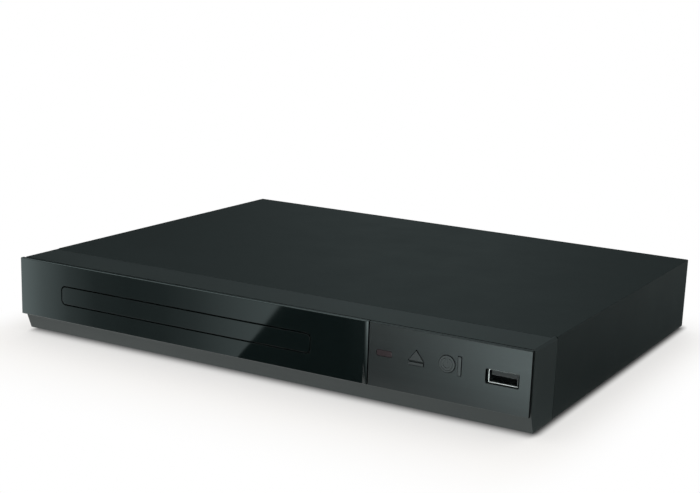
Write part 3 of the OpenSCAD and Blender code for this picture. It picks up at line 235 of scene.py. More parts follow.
def softened(node, edge):
    """A copy of a frame node with rounded edges, which stands in for the node."""
    deselect_all()
    source = NODES[node]
    piece = source.copy()
    piece.data = source.data.copy()
    piece.name = piece.data.name = node + ".soft"
    piece.parent = None
    piece.matrix_world = Matrix.Identity(4)
    bpy.context.collection.objects.link(piece)
    make_active(piece)
    bpy.ops.object.mode_set(mode="EDIT")
    bpy.ops.mesh.select_all(action="SELECT")
    bpy.ops.mesh.remove_doubles(threshold=WELD)
    bpy.ops.mesh.dissolve_limited(angle_limit=FLAT_ANGLE)
    bpy.ops.object.mode_set(mode="OBJECT")
    bevel = piece.modifiers.new("edge", "BEVEL")
    bevel.width = edge
    bevel.segments = 2
    bevel.limit_method = "ANGLE"
    bevel.angle_limit = EDGE_ANGLE
    bevel.miter_outer = "MITER_ARC"
    apply_modifiers(piece)
    bpy.ops.object.shade_smooth_by_angle(angle=SMOOTH_ANGLE)
    even = piece.modifiers.new("even", "WEIGHTED_NORMAL")
    even.weight = 100
    even.keep_sharp = True
    apply_modifiers(piece)
    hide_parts(node)
    dress(piece, node, slot_material(node))
    return piece


# ---- Node groups shared by the finishes ----

def new_group(name, inputs, outputs):
    """A node group with its sockets, and its inner ends."""
    group = bpy.data.node_groups.new(name, "ShaderNodeTree")
    for label, kind, value in inputs:
        socket = group.interface.new_socket(name=label, in_out="INPUT", socket_type=kind)
        socket.default_value = value
    for label, kind in outputs:
        group.interface.new_socket(name=label, in_out="OUTPUT", socket_type=kind)
    return group, group.nodes.new("NodeGroupInput"), group.nodes.new("NodeGroupOutput")


def feed(tree, socket, value):
    """Gives a socket a number, a colour or the output of another node."""
    if isinstance(value, bpy.types.NodeSocket):
        tree.links.new(value, socket)
    else:
        socket.default_value = value


def math_node(tree, operation, first, second):
    node = tree.nodes.new("ShaderNodeMath")
    node.operation = operation
    for socket, value in zip(node.inputs, (first, second)):
        feed(tree, socket, value)
    return node.outputs[0]


def split_place(tree, kind):
    """The separate coordinates of a place, in the object's or the UV's frame."""
    place = tree.nodes.new("ShaderNodeSeparateXYZ")
    tree.links.new(tree.nodes.new("ShaderNodeTexCoord").outputs[kind], place.inputs[0])
    return place.outputs


def mix_colours(tree, factor, first, second):
    mix = tree.nodes.new("ShaderNodeMix")
    mix.data_type = "RGBA"
    for label, value in (("Factor", factor), ("A", first), ("B", second)):
        feed(tree, mix.inputs[label], value)
    return mix.outputs["Result"]


def mix_shaders(tree, factor, first, second):
    mix = tree.nodes.new("ShaderNodeMixShader")
    tree.links.new(factor, mix.inputs["Fac"])
    tree.links.new(first, mix.inputs[1])
    tree.links.new(second, mix.inputs[2])
    return mix.outputs[0]


def noise_node(tree, vector, scale, detail, roughness=0.55):
    node = tree.nodes.new("ShaderNodeTexNoise")
    node.inputs["Detail"].default_value = detail
    node.inputs["Roughness"].default_value = roughness
    tree.links.new(vector, node.inputs["Vector"])
    feed(tree, node.inputs["Scale"], scale)
    return node.outputs["Fac"]


def shade_colour(tree, colour, factor):
    """The colour times a factor."""
    node = tree.nodes.new("ShaderNodeVectorMath")
    node.operation = "SCALE"
    tree.links.new(colour, node.inputs[0])
    tree.links.new(factor, node.inputs["Scale"])
    return node.outputs[0]


def map_node(tree, value, source, target, smooth=False):
    """A value taken from one range to another."""
    node = tree.nodes.new("ShaderNodeMapRange")
    if smooth:
        node.interpolation_type = "SMOOTHSTEP"
    tree.links.new(value, node.inputs["Value"])
    for label, end in zip(("From Min", "From Max", "To Min", "To Max"), (*source, *target)):
        feed(tree, node.inputs[label], end)
    return node.outputs[0]


# Where nearly all of a noise texture's values lie
NOISE_RANGE = (0.25, 0.75)


def spread_about(tree, value, middle, spread):
    """A noise spread evenly about a middle value."""
    low = math_node(tree, "SUBTRACT", middle, spread)
    high = math_node(tree, "ADD", middle, spread)
    return map_node(tree, value, NOISE_RANGE, (low, high))


def surface_group(name, scale, variation, roughness, spread):
    """A group with the inputs and outputs of every finish."""
    return new_group(
        name,
        [("Colour", "NodeSocketColor", (0.05, 0.05, 0.05, 1)), ("Scale", "NodeSocketFloat", scale),
         ("Depth", "NodeSocketFloat", 0.00002), ("Roughness", "NodeSocketFloat", roughness),
         ("Spread", "NodeSocketFloat", spread), variation],
        [("Colour", "NodeSocketColor"), ("Roughness", "NodeSocketFloat"), ("Normal", "NodeSocketVector")],
    )


def fill_surface(group, source, sink, variation, tones, worn, height):
    """Varies the colour by two noises and the roughness by one of them, and makes bumps from the fine one."""
    factors = [spread_about(group, tone, 1.0, source.outputs[variation]) for tone in tones]
    tone = math_node(group, "MULTIPLY", *factors)
    group.links.new(shade_colour(group, source.outputs["Colour"], tone), sink.inputs["Colour"])
    roughness = spread_about(group, worn, source.outputs["Roughness"], source.outputs["Spread"])
    group.links.new(roughness, sink.inputs["Roughness"])
    bump = group.nodes.new("ShaderNodeBump")
    group.links.new(source.outputs["Depth"], bump.inputs["Distance"])
    group.links.new(height, bump.inputs["Height"])
    group.links.new(bump.outputs["Normal"], sink.inputs["Normal"])


# Scales of the broad noises, and how far the brushed lines are drawn out along X
MOTTLE_SCALE = 35.0
BAND_SCALE = 420.0
LINE_STRETCH = (0.012, 1, 1)


def build_grain_group():
    """Fine even grain, as on moulded plastic, paint and rubber."""
    mottle = ("Mottle", "NodeSocketFloat", 0.08)
    group, source, sink = surface_group("Fine grain", 1500, mottle, 0.5, 0.06)
    place = group.nodes.new("ShaderNodeTexCoord").outputs["Object"]
    fine = noise_node(group, place, source.outputs["Scale"], 4.0)
    broad = noise_node(group, place, MOTTLE_SCALE, 2.0)
    fill_surface(group, source, sink, "Mottle", (broad, fine), broad, fine)
    return group


def build_brushed_group():
    """Long fine lines along X, as on a hairline panel or brushed sheet."""
    contrast = ("Contrast", "NodeSocketFloat", 0.2)
    group, source, sink = surface_group("Brushed lines", 2600, contrast, 0.4, 0.08)
    place = group.nodes.new("ShaderNodeTexCoord").outputs["Object"]
    stretch = group.nodes.new("ShaderNodeMapping")
    stretch.inputs["Scale"].default_value = LINE_STRETCH
    group.links.new(place, stretch.inputs["Vector"])
    lines = noise_node(group, stretch.outputs["Vector"], source.outputs["Scale"], 3.0, 0.6)
    bands = noise_node(group, stretch.outputs["Vector"], BAND_SCALE, 2.0)
    fill_surface(group, source, sink, "Contrast", (lines, bands), lines, lines)
    return group


COAT_ROUGHNESS = 0.05


def finish_material(name, group, values, metallic, specular, coat):
    """A Principled material whose colour, roughness and normal come from one of the groups."""
    material = bpy.data.materials.new(name)
    material.use_nodes = True
    tree = material.node_tree
    shader = tree.nodes["Principled BSDF"]
    effect = tree.nodes.new("ShaderNodeGroup")
    effect.node_tree = group
    for label, value in values.items():
        effect.inputs[label].default_value = (*value, 1) if label == "Colour" else value
    for source, target in (("Colour", "Base Color"), ("Roughness", "Roughness"), ("Normal", "Normal")):
        tree.links.new(effect.outputs[source], shader.inputs[target])
    shader.inputs["Metallic"].default_value = metallic
    shader.inputs["Specular IOR Level"].default_value = specular
    shader.inputs["Coat Weight"].default_value = coat
    shader.inputs["Coat Roughness"].default_value = COAT_ROUGHNESS
    return material


Finish = namedtuple(
    "Finish", "kind colour scale depth roughness spread variation metallic specular coat",
    defaults=(0.0, 0.5, 0.0),
)

# Group, colour, grain scale, bump depth, roughness, its spread and how far the colour varies
PLAIN_FINISHES = {
    "foot_rubber": Finish("grain", (0.018, 0.018, 0.018), 1800, 3e-5, 0.75, 0.06, 0.1, specular=0.3),
    "black_screw": Finish("grain", (0.02, 0.02, 0.021), 3000, 1e-5, 0.42, 0.08, 0.06, metallic=0.6),
    "zinc_screw": Finish("grain", (0.5, 0.5, 0.49), 2500, 1e-5, 0.34, 0.08, 0.05, metallic=1),
    "zinc_steel": Finish("brushed", (0.5, 0.51, 0.52), 1800, 6e-6, 0.42, 0.07, 0.06, metallic=1),
    "dark_plastic": Finish("grain", (0.016, 0.016, 0.017), 1600, 1.5e-5, 0.5, 0.06, 0.08, specular=0.4),
    "bright_metal": Finish("brushed", (0.60, 0.62, 0.62), 2600, 3e-6, 0.28, 0.05, 0.05, metallic=1),
    "ribbon": Finish("brushed", (0.62, 0.62, 0.58), 900, 1e-5, 0.5, 0.05, 0.12, specular=0.4),
    "capacitor_sleeve": Finish("grain", (0.016, 0.024, 0.09), 900, 4e-6, 0.3, 0.05, 0.05, coat=0.3),
    "yellow_plastic": Finish("grain", (0.8, 0.55, 0.02), 1400, 6e-6, 0.32, 0.05, 0.05),
    "white_plastic": Finish("grain", (0.78, 0.78, 0.74), 1400, 6e-6, 0.34, 0.05, 0.04),
    "red_plastic": Finish("grain", (0.55, 0.015, 0.018), 1400, 6e-6, 0.32, 0.05, 0.05),
    "winding_tape": Finish("brushed", (0.62, 0.44, 0.06), 500, 3e-5, 0.4, 0.05, 0.12),
    "bare_aluminium": Finish("brushed", (0.68, 0.69, 0.7), 1500, 8e-6, 0.38, 0.06, 0.06, metallic=1),
    "red_wire": Finish("grain", (0.5, 0.02, 0.015), 1200, 6e-6, 0.42, 0.05, 0.05),
    "loader_plastic": Finish("grain", (0.028, 0.028, 0.03), 1300, 2e-5, 0.55, 0.06, 0.08, specular=0.4),
    "magnet": Finish("grain", (0.1, 0.1, 0.11), 1500, 1e-5, 0.55, 0.08, 0.1, metallic=0.7),
    "motor_steel": Finish("brushed", (0.58, 0.58, 0.58), 2400, 5e-6, 0.3, 0.06, 0.05, metallic=1),
    "ivory_plastic": Finish("grain", (0.74, 0.71, 0.6), 1200, 1e-5, 0.45, 0.05, 0.04),
    "belt_rubber": Finish("grain", (0.014, 0.014, 0.014), 1500, 2e-5, 0.7, 0.06, 0.1, specular=0.3),
    "tray_plastic": Finish("grain", (0.022, 0.022, 0.024), 1500, 2e-5, 0.46, 0.05, 0.06),
    "sled_metal": Finish("grain", (0.42, 0.43, 0.45), 1700, 2e-5, 0.46, 0.08, 0.08, metallic=1),
    # painted highlight: the socket's lip is lighter than the shell's steel, and shade_lip paints shade on its
    # upper and right sides
    "socket_lip_light_and_shade": Finish("grain", (0.80, 0.84, 0.83), 1800, 4e-6, 0.4, 0.05, 0.06, metallic=0.3),
    # painted highlight: the keys are lighter than the brushed panel round them, for the light they catch
    "key_plastic": Finish("grain", (0.030, 0.035, 0.036), 1700, 6e-6, 0.34, 0.03, 0.05),
    "red_window": Finish("grain", (0.027, 0.0165, 0.0195), 900, 2e-6, 0.3, 0.03, 0.05),
    # painted shade: a near-black finish for the panels' sides and ends, which lie in shade
    "shaded_panel_side": Finish("grain", (0.0012, 0.0014, 0.0014), 1500, 1e-6, 0.5, 0.04, 0.05, specular=0.1),
    "lens_glass": Finish("grain", (0.10, 0.12, 0.30), 900, 1e-6, 0.08, 0.02, 0.05, coat=1.0),
}


def set_finishes():
    """The finishes whose colours are among the settings."""
    finish, _, _ = settings()
    return {
        "black_plastic": Finish("grain", finish.moulded_black, 1900, 1.6e-5, 0.42, 0.03, 0.05, specular=0.4),
        "gloss_black": Finish("grain", finish.gloss_black, 300, 2e-7, 0.065, 0.012, 0.04),
        "brushed_panel": Finish(
            "brushed", finish.brushed_grey, finish.hairline_scale, 1.2e-5, 0.36, 0.05, 0.10,
        ),
        "painted_steel": Finish("grain", finish.cover_paint, 2200, 1.2e-5, 0.46, 0.03, 0.05, specular=0.35),
    }


def plain_finish(slot, look, groups):
    """A material that is all one finish."""
    values = {
        "Colour": look.colour, "Scale": look.scale, "Depth": look.depth,
        "Roughness": look.roughness, "Spread": look.spread,
        "Mottle" if look.kind == "grain" else "Contrast": look.variation,
    }
    return finish_material(slot, groups[look.kind], values, look.metallic, look.specular, look.coat)


# Copper under a board's mask: scale of its cells, width of the tracks between them, how soft their edges are
# and how much of the copper's colour shows in the brightest cells
TRACK_SCALE = 95
TRACK_WIDTH = 0.035
TRACK_BLUR = 0.1
PAD_SHARE = 0.25


def board_finish(name, colour, track, groups):
    """A circuit board: solder mask with faint copper tracks and cells under it."""
    look = Finish("grain", colour, 1500, 5e-6, 0.35, 0.05, 0.05, coat=0.4)
    material = plain_finish(name, look, groups)
    tree = material.node_tree
    shader = tree.nodes["Principled BSDF"]
    grain = next(node for node in tree.nodes if node.type == "GROUP")
    place = tree.nodes.new("ShaderNodeTexCoord").outputs["Object"]
    cells = tree.nodes.new("ShaderNodeTexBrick")
    cells.inputs["Scale"].default_value = TRACK_SCALE
    cells.inputs["Mortar Size"].default_value = TRACK_WIDTH
    cells.inputs["Mortar Smooth"].default_value = TRACK_BLUR
    cells.inputs["Color1"].default_value = (0, 0, 0, 1)
    cells.inputs["Color2"].default_value = (PAD_SHARE, PAD_SHARE, PAD_SHARE, 1)
    cells.inputs["Mortar"].default_value = (1, 1, 1, 1)
    tree.links.new(place, cells.inputs["Vector"])
    shown = mix_colours(tree, cells.outputs["Color"], grain.outputs["Colour"], (*track, 1))
    tree.links.new(shown, shader.inputs["Base Color"])
    return material


# Where a socket's lip turns from painted highlight to painted shade, as the sum of the shares of its width
# and height, and how dark it gets
LIP_TURN = (0.96, 1.06)
LIP_DARK = 0.07


def shade_lip(material, low, high):
    """Darkens the upper and right-hand sides of a socket's lip, which look away from the light."""
    tree = material.node_tree
    shader = tree.nodes["Principled BSDF"]
    grain = next(node for node in tree.nodes if node.type == "GROUP")
    place = split_place(tree, "Object")
    across = math_node(tree, "SUBTRACT", place["X"], low[0])
    across = math_node(tree, "DIVIDE", across, high[0] - low[0])
    up = math_node(tree, "SUBTRACT", place["Z"], low[2])
    up = math_node(tree, "DIVIDE", up, high[2] - low[2])
    lit = map_node(tree, math_node(tree, "ADD", across, up), LIP_TURN, (1.0, LIP_DARK))
    tree.links.new(shade_colour(tree, grain.outputs["Colour"], lit), shader.inputs["Base Color"])


def build_materials():
    """One material for each slot of the record, and the few that only some faces get."""
    groups = {"grain": build_grain_group(), "brushed": build_brushed_group()}
    looks = {**PLAIN_FINISHES, **set_finishes()}
    made = {slot: plain_finish(slot, look, groups) for slot, look in looks.items()}
    shade_lip(made["socket_lip_light_and_shade"], *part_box("usb_shell"))
    made["green_board"] = board_finish("green_board", (0.010, 0.085, 0.030), (0.03, 0.17, 0.06), groups)
    made["tan_board"] = board_finish("tan_board", (0.36, 0.23, 0.09), (0.30, 0.28, 0.10), groups)
    return made


class PLAYER_OT_finishes(bpy.types.Operator):
    """Builds the finishes and gives each frame node its own"""

    bl_idname = "player.finishes"
    bl_label = "Finishes"

    def execute(self, context):
        MATERIALS.update(build_materials())
        for node, piece in NODES.items():
            piece.data.materials.clear()
            piece.data.materials.append(slot_material(node))
        return {"FINISHED"}


# ---- Front ----

# Most that a normal points to the front or up on a panel's sides, which get painted shade, and least that it
# points to the front on a socket's lip, which gets a painted highlight and painted shade
SIDE_FACING = 0.3
LIP_FACING = 0.9


def is_panel_side(normal):
    return normal.y > -SIDE_FACING and normal.z < SIDE_FACING


def is_lip(normal):
    return normal.y < -LIP_FACING


class PLAYER_OT_front(bpy.types.Operator):
    """Softens the moulded front, its two panels, the tray door and the indicator window"""

    bl_idname = "player.front"
    bl_label = "Front"

    def execute(self, context):
        _, shape, _ = settings()
        for node, edge in (
            ("front_frame", shape.moulding_edge),
            ("gloss_panel", shape.panel_edge),
            ("hairline_panel", shape.panel_edge),
            ("tray_door", shape.panel_edge),
            ("indicator_window", shape.panel_edge),
        ):
            piece = softened(node, edge)
            if node.endswith("panel"):
                # the panels' sides and ends get near-black painted shade
                paint_faces(piece, MATERIALS["shaded_panel_side"], is_panel_side)
        return {"FINISHED"}


class PLAYER_OT_keys(bpy.types.Operator):
    """Softens the eject and power keys"""

    bl_idname = "player.keys"
    bl_label = "Keys"

    def execute(self, context):
        _, shape, _ = settings()
        for node in ("eject_button", "power_button"):
            softened(node, shape.key_edge)
        return {"FINISHED"}


# A sprung contact of the front socket: its size, how far its middle lies behind the tongue's tip and over the
# shell's underside, how deep its crest is, the crest's place and width as shares of its length, and the cuts
# that let it bend
SPRING_SIZE = (0.001, 0.008, 0.00018)
SPRING_MIDDLE = 0.0046
SPRING_RISE = 0.00295
CREST_DEPTH = 0.0002
CREST_PLACE = 0.22
CREST_WIDTH = 0.12
CREST_CUTS = 6
SPRING_EDGE = 0.00004


class PLAYER_OT_socket(bpy.types.Operator):
    """Adds the sprung contacts on the front socket's tongue"""

    bl_idname = "player.socket"
    bl_label = "Front socket"

    contacts: bpy.props.IntProperty(
        name="Contacts", description="Contacts on the tongue", default=4, min=1, max=9,
    )
    pitch: bpy.props.FloatProperty(
        name="Pitch", description="Distance between two contacts", default=0.0023, unit="LENGTH",
    )

    def execute(self, context):
        low, high = (Vector(corner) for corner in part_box("usb_tongue"))
        middle_x = (low.x + high.x) / 2
        spring_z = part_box("usb_shell")[0][2] + SPRING_RISE
        for index in range(self.contacts):
            x = middle_x + (index - (self.contacts - 1) / 2) * self.pitch
            deselect_all()
            bpy.ops.mesh.primitive_cube_add(size=1, location=(x, low.y + SPRING_MIDDLE, spring_z))
            contact = context.object
            contact.scale = SPRING_SIZE
            settle(contact)
            contact.name = f"usb_contact.{index + 1}"
            # the sprung crest near the tip
            bpy.ops.object.mode_set(mode="EDIT")
            bpy.ops.mesh.subdivide(number_cuts=CREST_CUTS)
            bpy.ops.object.mode_set(mode="OBJECT")
            for vertex in contact.data.vertices:
                offset = ((vertex.co.y - low.y) / SPRING_SIZE[1] - CREST_PLACE) / CREST_WIDTH
                vertex.co.z -= CREST_DEPTH * math.exp(-(offset ** 2))
            bevel = contact.modifiers.new("edge", "BEVEL")
            bevel.width = SPRING_EDGE
            bevel.limit_method = "ANGLE"
            apply_modifiers(contact)
            dress(contact, "usb_shell", MATERIALS["bright_metal"])
        return {"FINISHED"}


# ---- Case ----

class PLAYER_OT_cover(bpy.types.Operator):
    """Softens the cover's edges"""

    bl_idname = "player.cover"
    bl_label = "Cover"

    def execute(self, context):
        _, shape, _ = settings()
        softened("top_cover", shape.cover_edge)
        return {"FINISHED"}


# Edge radii of the loader's and the sockets' pieces
INNER_EDGES = {
    "disc_tray": 0.0003, "turntable": 0.0002, "mains_inlet": 0.0003, "av_block": 0.0003, "feet": 0.0004,
}
SHELL_EDGE = 0.00008


class PLAYER_OT_inside(bpy.types.Operator):
    """Softens the mouldings of the loader and the sockets"""

    bl_idname = "player.inside"
    bl_label = "Loader and sockets"

    def execute(self, context):
        for node, edge in INNER_EDGES.items():
            softened(node, edge)
        shell = softened("usb_shell", SHELL_EDGE)
        # the lip's front faces get the painted highlight and painted shade
        paint_faces(shell, MATERIALS["socket_lip_light_and_shade"], is_lip)
        return {"FINISHED"}


# ---- Stage ----

# Tints of what the blacks mirror and of the floor's paper
WHITE = (1, 1, 1)
REFLECTION_TINT = (0.82, 1.0, 1.0)
PAPER_TINT = (1.0, 0.97, 0.93)
FLOOR_SIZE = 12

# The floor's broad shade, which painted white fades out, and the painted contact shadow where the player
# meets the
# floor: footprints in metres, how much faster both fade to the sides, where they begin and end, and how much
# white or black is mixed in at first
SHADE_X = (-0.132, 0.134)
SHADE_Y = (-0.1085, 0.060)
SHADE_NARROWING = 2.2
SHADE_SPAN = (0.014, 0.085)
SHADE_WHITE = 0.51
CONTACT_X = (-0.133, 0.133)
CONTACT_Y = (-0.0955, 0.100)
CONTACT_SPAN = (0, 0.0115)
CONTACT_SHADOW_BLACK = 0.9

# The card that the panels mirror: where it starts and how long it is, in case widths from the left side and
# in shares of the height of the panels' top
CARD_ACROSS = (-0.1, 1.5)
CARD_UP = (0.15, 1.35)
# Its brightness along the panels, left of a slanting edge and right of it, the place, lean and softness of
# that edge, and how the right part brightens upwards
LEFT_SHINE = (
    (0.0, 1.0), (0.05, 0.56), (0.11, 0.25), (0.17, 0.11), (0.25, 0.08),
    (0.32, 0.10), (0.39, 0.19), (0.47, 0.38), (0.60, 0.66),
)
RIGHT_SHINE = ((0.0, 0.0), (0.68, 0.0), (0.74, 0.02), (0.80, 0.10), (0.88, 0.27), (1.0, 0.74))
PANEL_STRENGTH = 2.2
SHINE_EDGE = 0.446
SHINE_EDGE_LEAN = 0.114
SHINE_EDGE_SOFTNESS = 0.002
SHINE_RISE = 2.6
SHINE_BASE = 0.1

# Cards are fine grids, and most lie just over the floor
CARD_CELLS = (48, 8)
CARD_Z = 0.0004
# The card that the chin mirrors
CHIN_SIZE = (0.29, 0.032)
CHIN_AHEAD = 0.009
CHIN_STRENGTH = 1.18
CHIN_TINT = (0.96, 1, 0.98)
# The card beside the player: its size, its gap to the case, its middle and its brightness from front to back
SIDE_SIZE = (0.5, 0.7)
SIDE_GAP = 0.001
SIDE_Y = 0.2
SIDE_SHINE = ((0.0, 0.15), (0.10, 0.13), (0.20, 0.07), (0.49, 0.18), (1.0, 0.20))
# The curved card behind the player: first angle and sweep in degrees, radius, foot and height in metres, and
# its brightness from right to left
BACK_START = 95
BACK_SWEEP = 50
BACK_RADIUS = 1.6
BACK_FOOT = 0.01
BACK_HEIGHT = 0.9
BACK_SHINE = ((0.04, 0.07), (0.20, 0.10), (0.32, 0.22), (0.50, 0.22), (0.64, 0.10), (0.76, 0.05), (1.0, 0.05))
# The card overhead that the panels' rounded upper edge mirrors
EDGE_SIZE = (1.2, 0.7)
EDGE_PLACE = (-0.75, -0.3, 1.0)
EDGE_STRENGTH = 2.5

# Soft lamps: size, place and what they are aimed at
TOP_LIGHT = ((2.2, 2.2), (0.0, -0.1, 1.3), (0, 0, 0))
FILL_LIGHT = ((2.0, 0.8), (0.3, -1.3, 0.5), (0.0, -0.1, 0.0))

# The camera's sensor in millimetres, its near limit in metres, and how many millimetres a metre has
SENSOR_WIDTH = 36
CLIP_START = 0.01
MM = 1000


def camera_place(stage):
    """Where the camera stands."""
    corner = Vector((CASE_LOW.x, FRONT_Y, TOP_Z))
    return corner + Vector(stage.camera_offset) * CASE_WIDTH


def camera_matrix(stage):
    """The camera's place, with its turn from azimuth, elevation and roll."""
    yaw = -stage.azimuth
    forward = Vector((
        math.sin(yaw) * math.cos(stage.elevation),
        math.cos(yaw) * math.cos(stage.elevation),
        -math.sin(stage.elevation),
    ))
    right = forward.cross(Vector((0, 0, 1))).normalized()
    down = forward.cross(right)
    cos_roll, sin_roll = math.cos(stage.roll), math.sin(stage.roll)
    x_axis = right * cos_roll + down * sin_roll
    y_axis = right * sin_roll - down * cos_roll
    turned = Matrix((x_axis, y_axis, -forward)).transposed().to_4x4()
    turned.translation = camera_place(stage)
    return turned


def add_camera(stage):
    data = bpy.data.cameras.new("camera")
    data.sensor_width = SENSOR_WIDTH
    data.lens = stage.lens * MM
    data.shift_x, data.shift_y = stage.shift
    data.clip_start = CLIP_START
    camera = bpy.data.objects.new("camera", data)
    bpy.context.scene.collection.objects.link(camera)
    camera.matrix_world = camera_matrix(stage)
    return camera


def glow_material(name, strength):
    """A material that only glows, in the tint of the reflections until another colour is linked."""
    material = bpy.data.materials.new(name)
    material.use_nodes = True
    tree = material.node_tree
    tree.nodes.clear()
    glow = tree.nodes.new("ShaderNodeEmission")
    glow.inputs["Color"].default_value = (*REFLECTION_TINT, 1)
    glow.inputs["Strength"].default_value = strength
    output = tree.nodes.new("ShaderNodeOutputMaterial")
    tree.links.new(glow.outputs[0], output.inputs["Surface"])
    return material, tree, glow


def ramp_node(tree, value, stops):
    """Tones of the reflections' tint that change with a value, from place and level at each stop."""
    ramp = tree.nodes.new("ShaderNodeValToRGB")
    tree.links.new(value, ramp.inputs["Fac"])
    elements = ramp.color_ramp.elements
    while len(elements) < len(stops):
        elements.new(0.5)
    for element, (place, level) in zip(elements, stops):
        element.position = place
        element.color = (*(level * part for part in REFLECTION_TINT), 1)
    return ramp.outputs["Color"]


def outside(tree, value, low, high):
    """How far a value lies outside a range."""
    offset = math_node(tree, "ABSOLUTE", math_node(tree, "SUBTRACT", value, (low + high) / 2), 0.0)
    return math_node(tree, "MAXIMUM", math_node(tree, "SUBTRACT", offset, (high - low) / 2), 0.0)


def floor_blend(tree, place, across, along, span, levels):
    """A level that changes with the distance from a footprint, for what the camera sees."""
    aside = outside(tree, place["X"], *across)
    ahead = outside(tree, place["Y"], *along)
    aside = math_node(tree, "MULTIPLY", aside, SHADE_NARROWING)
    squares = [math_node(tree, "POWER", offset, 2.0) for offset in (aside, ahead)]
    distance = math_node(tree, "POWER", math_node(tree, "ADD", *squares), 0.5)
    level = map_node(tree, distance, span, levels, smooth=True)
    path = tree.nodes.new("ShaderNodeLightPath")
    return math_node(tree, "MULTIPLY", level, path.outputs["Is Camera Ray"])


def add_floor(stage):
    """Pale paper; where the camera looks at it, painted white fades its broad shade and a painted contact
    shadow is mixed in.
    """
    deselect_all()
    bpy.ops.mesh.primitive_plane_add(size=FLOOR_SIZE, location=(0, 0, 0))
    floor = bpy.context.object
    floor.name = "floor"
    material = bpy.data.materials.new("floor")
    material.use_nodes = True
    tree = material.node_tree
    tree.nodes.clear()
    paper = tree.nodes.new("ShaderNodeBsdfDiffuse")
    paper.inputs["Color"].default_value = (*(stage.floor_white * part for part in PAPER_TINT), 1)
    white = tree.nodes.new("ShaderNodeEmission")
    place = split_place(tree, "Object")
    black = tree.nodes.new("ShaderNodeEmission")
    black.inputs["Strength"].default_value = 0
    # painted light: white glow mixed into the floor for the camera, more away from the player, which fades
    # its real shade
    fade = floor_blend(tree, place, SHADE_X, SHADE_Y, SHADE_SPAN, (SHADE_WHITE, 1))
    # painted contact shadow: black mixed into the floor for the camera, strongest at the player's foot
    dark = floor_blend(tree, place, CONTACT_X, CONTACT_Y, CONTACT_SPAN, (CONTACT_SHADOW_BLACK, 0))
    surface = mix_shaders(tree, fade, paper.outputs[0], white.outputs[0])
    surface = mix_shaders(tree, dark, surface, black.outputs[0])
    output = tree.nodes.new("ShaderNodeOutputMaterial")
    tree.links.new(surface, output.inputs["Surface"])
    floor.data.materials.append(material)


def ramp_material(name, axis, stops):
    """A glow that runs along a card."""
    material, tree, glow = glow_material(name, 1.0)
    place = split_place(tree, "UV")
    tree.links.new(ramp_node(tree, place[axis], stops), glow.inputs["Color"])
    return material


def add_card(name, size, place, material):
    """A plane that only reflections see, as a reflector or a flag in the studio."""
    deselect_all()
    cells_x, cells_y = CARD_CELLS
    bpy.ops.mesh.primitive_grid_add(
        x_subdivisions=cells_x, y_subdivisions=cells_y, size=1, location=place, calc_uvs=True,
    )
    card = bpy.context.object
    card.name = name
    card.scale = (*size, 1)
    settle(card)
    card.data.materials.append(material)
    card.visible_camera = False
    card.visible_diffuse = False
    card.visible_shadow = False
    card.visible_transmission = False
    return card


def part_way(span, share):
    """The place at a share of a span, which is given by its start and its length."""
    start, length = span
    return start + share * length


def panel_glow():
    """Two runs of tones that meet at a slanting edge."""
    material, tree, glow = glow_material("panel_card", PANEL_STRENGTH)
    place = split_place(tree, "UV")
    left = ramp_node(tree, place["X"], LEFT_SHINE)
    right = ramp_node(tree, place["X"], RIGHT_SHINE)
    rise = math_node(tree, "ADD", math_node(tree, "MULTIPLY", place["Y"], SHINE_RISE), SHINE_BASE)
    right = shade_colour(tree, right, rise)
    lean = math_node(tree, "MULTIPLY", place["Y"], SHINE_EDGE_LEAN)
    edge = math_node(tree, "SUBTRACT", math_node(tree, "SUBTRACT", place["X"], SHINE_EDGE), lean)
    step = map_node(tree, edge, (-SHINE_EDGE_SOFTNESS, SHINE_EDGE_SOFTNESS), (0, 1))
    tree.links.new(mix_colours(tree, step, left, right), glow.inputs["Color"])
    return material


def add_panel_card(stage):
    """A card on the floor whose tones run along the panels, wherever they mirror it to the camera."""
    eye = camera_place(stage)
    card = add_card("panel_card", (1, 1), (0, 0, 0), panel_glow())
    # the UVs stay in widths and heights of the front, and the vertices go to the floor points that it mirrors
    uvs = card.data.uv_layers.active.data
    for loop in card.data.loops:
        corner = card.data.vertices[loop.vertex_index].co
        uvs[loop.index].uv = (part_way(CARD_ACROSS, corner.x + 0.5), part_way(CARD_UP, corner.y + 0.5))
    for vertex in card.data.vertices:
        panel_x = CASE_LOW.x + part_way(CARD_ACROSS, vertex.co.x + 0.5) * CASE_WIDTH
        panel_z = part_way(CARD_UP, vertex.co.y + 0.5) * TOP_Z
        reach = panel_z / (eye.z - panel_z)
        vertex.co = (panel_x + (panel_x - eye.x) * reach, FRONT_Y - (FRONT_Y - eye.y) * reach, CARD_Z)


def add_back_card():
    """A tall curved card behind the player, whose tones the top mirrors."""
    card = add_card("back_card", (1, 1), (0, 0, 0), ramp_material("back_card", "X", BACK_SHINE))
    for vertex in card.data.vertices:
        angle = math.radians(BACK_START + (vertex.co.x + 0.5) * BACK_SWEEP)
        height = BACK_FOOT + (vertex.co.y + 0.5) * BACK_HEIGHT
        vertex.co = (BACK_RADIUS * math.cos(angle), BACK_RADIUS * math.sin(angle), height)


def add_flat_cards():
    """The cards that the chin, the right side and the panels' upper edge mirror."""
    chin_tone, _, glow = glow_material("chin_card", CHIN_STRENGTH)
    glow.inputs["Color"].default_value = (*CHIN_TINT, 1)
    add_card("chin_card", CHIN_SIZE, (0, FRONT_Y - CHIN_AHEAD, CARD_Z), chin_tone)
    side_tone = ramp_material("side_card", "Y", SIDE_SHINE)
    side_x = CASE_HIGH.x + SIDE_GAP + SIDE_SIZE[0] / 2
    add_card("side_card", SIDE_SIZE, (side_x, SIDE_Y, CARD_Z), side_tone)
    edge_tone, _, _ = glow_material("edge_card", EDGE_STRENGTH)
    add_card("edge_card", EDGE_SIZE, EDGE_PLACE, edge_tone)


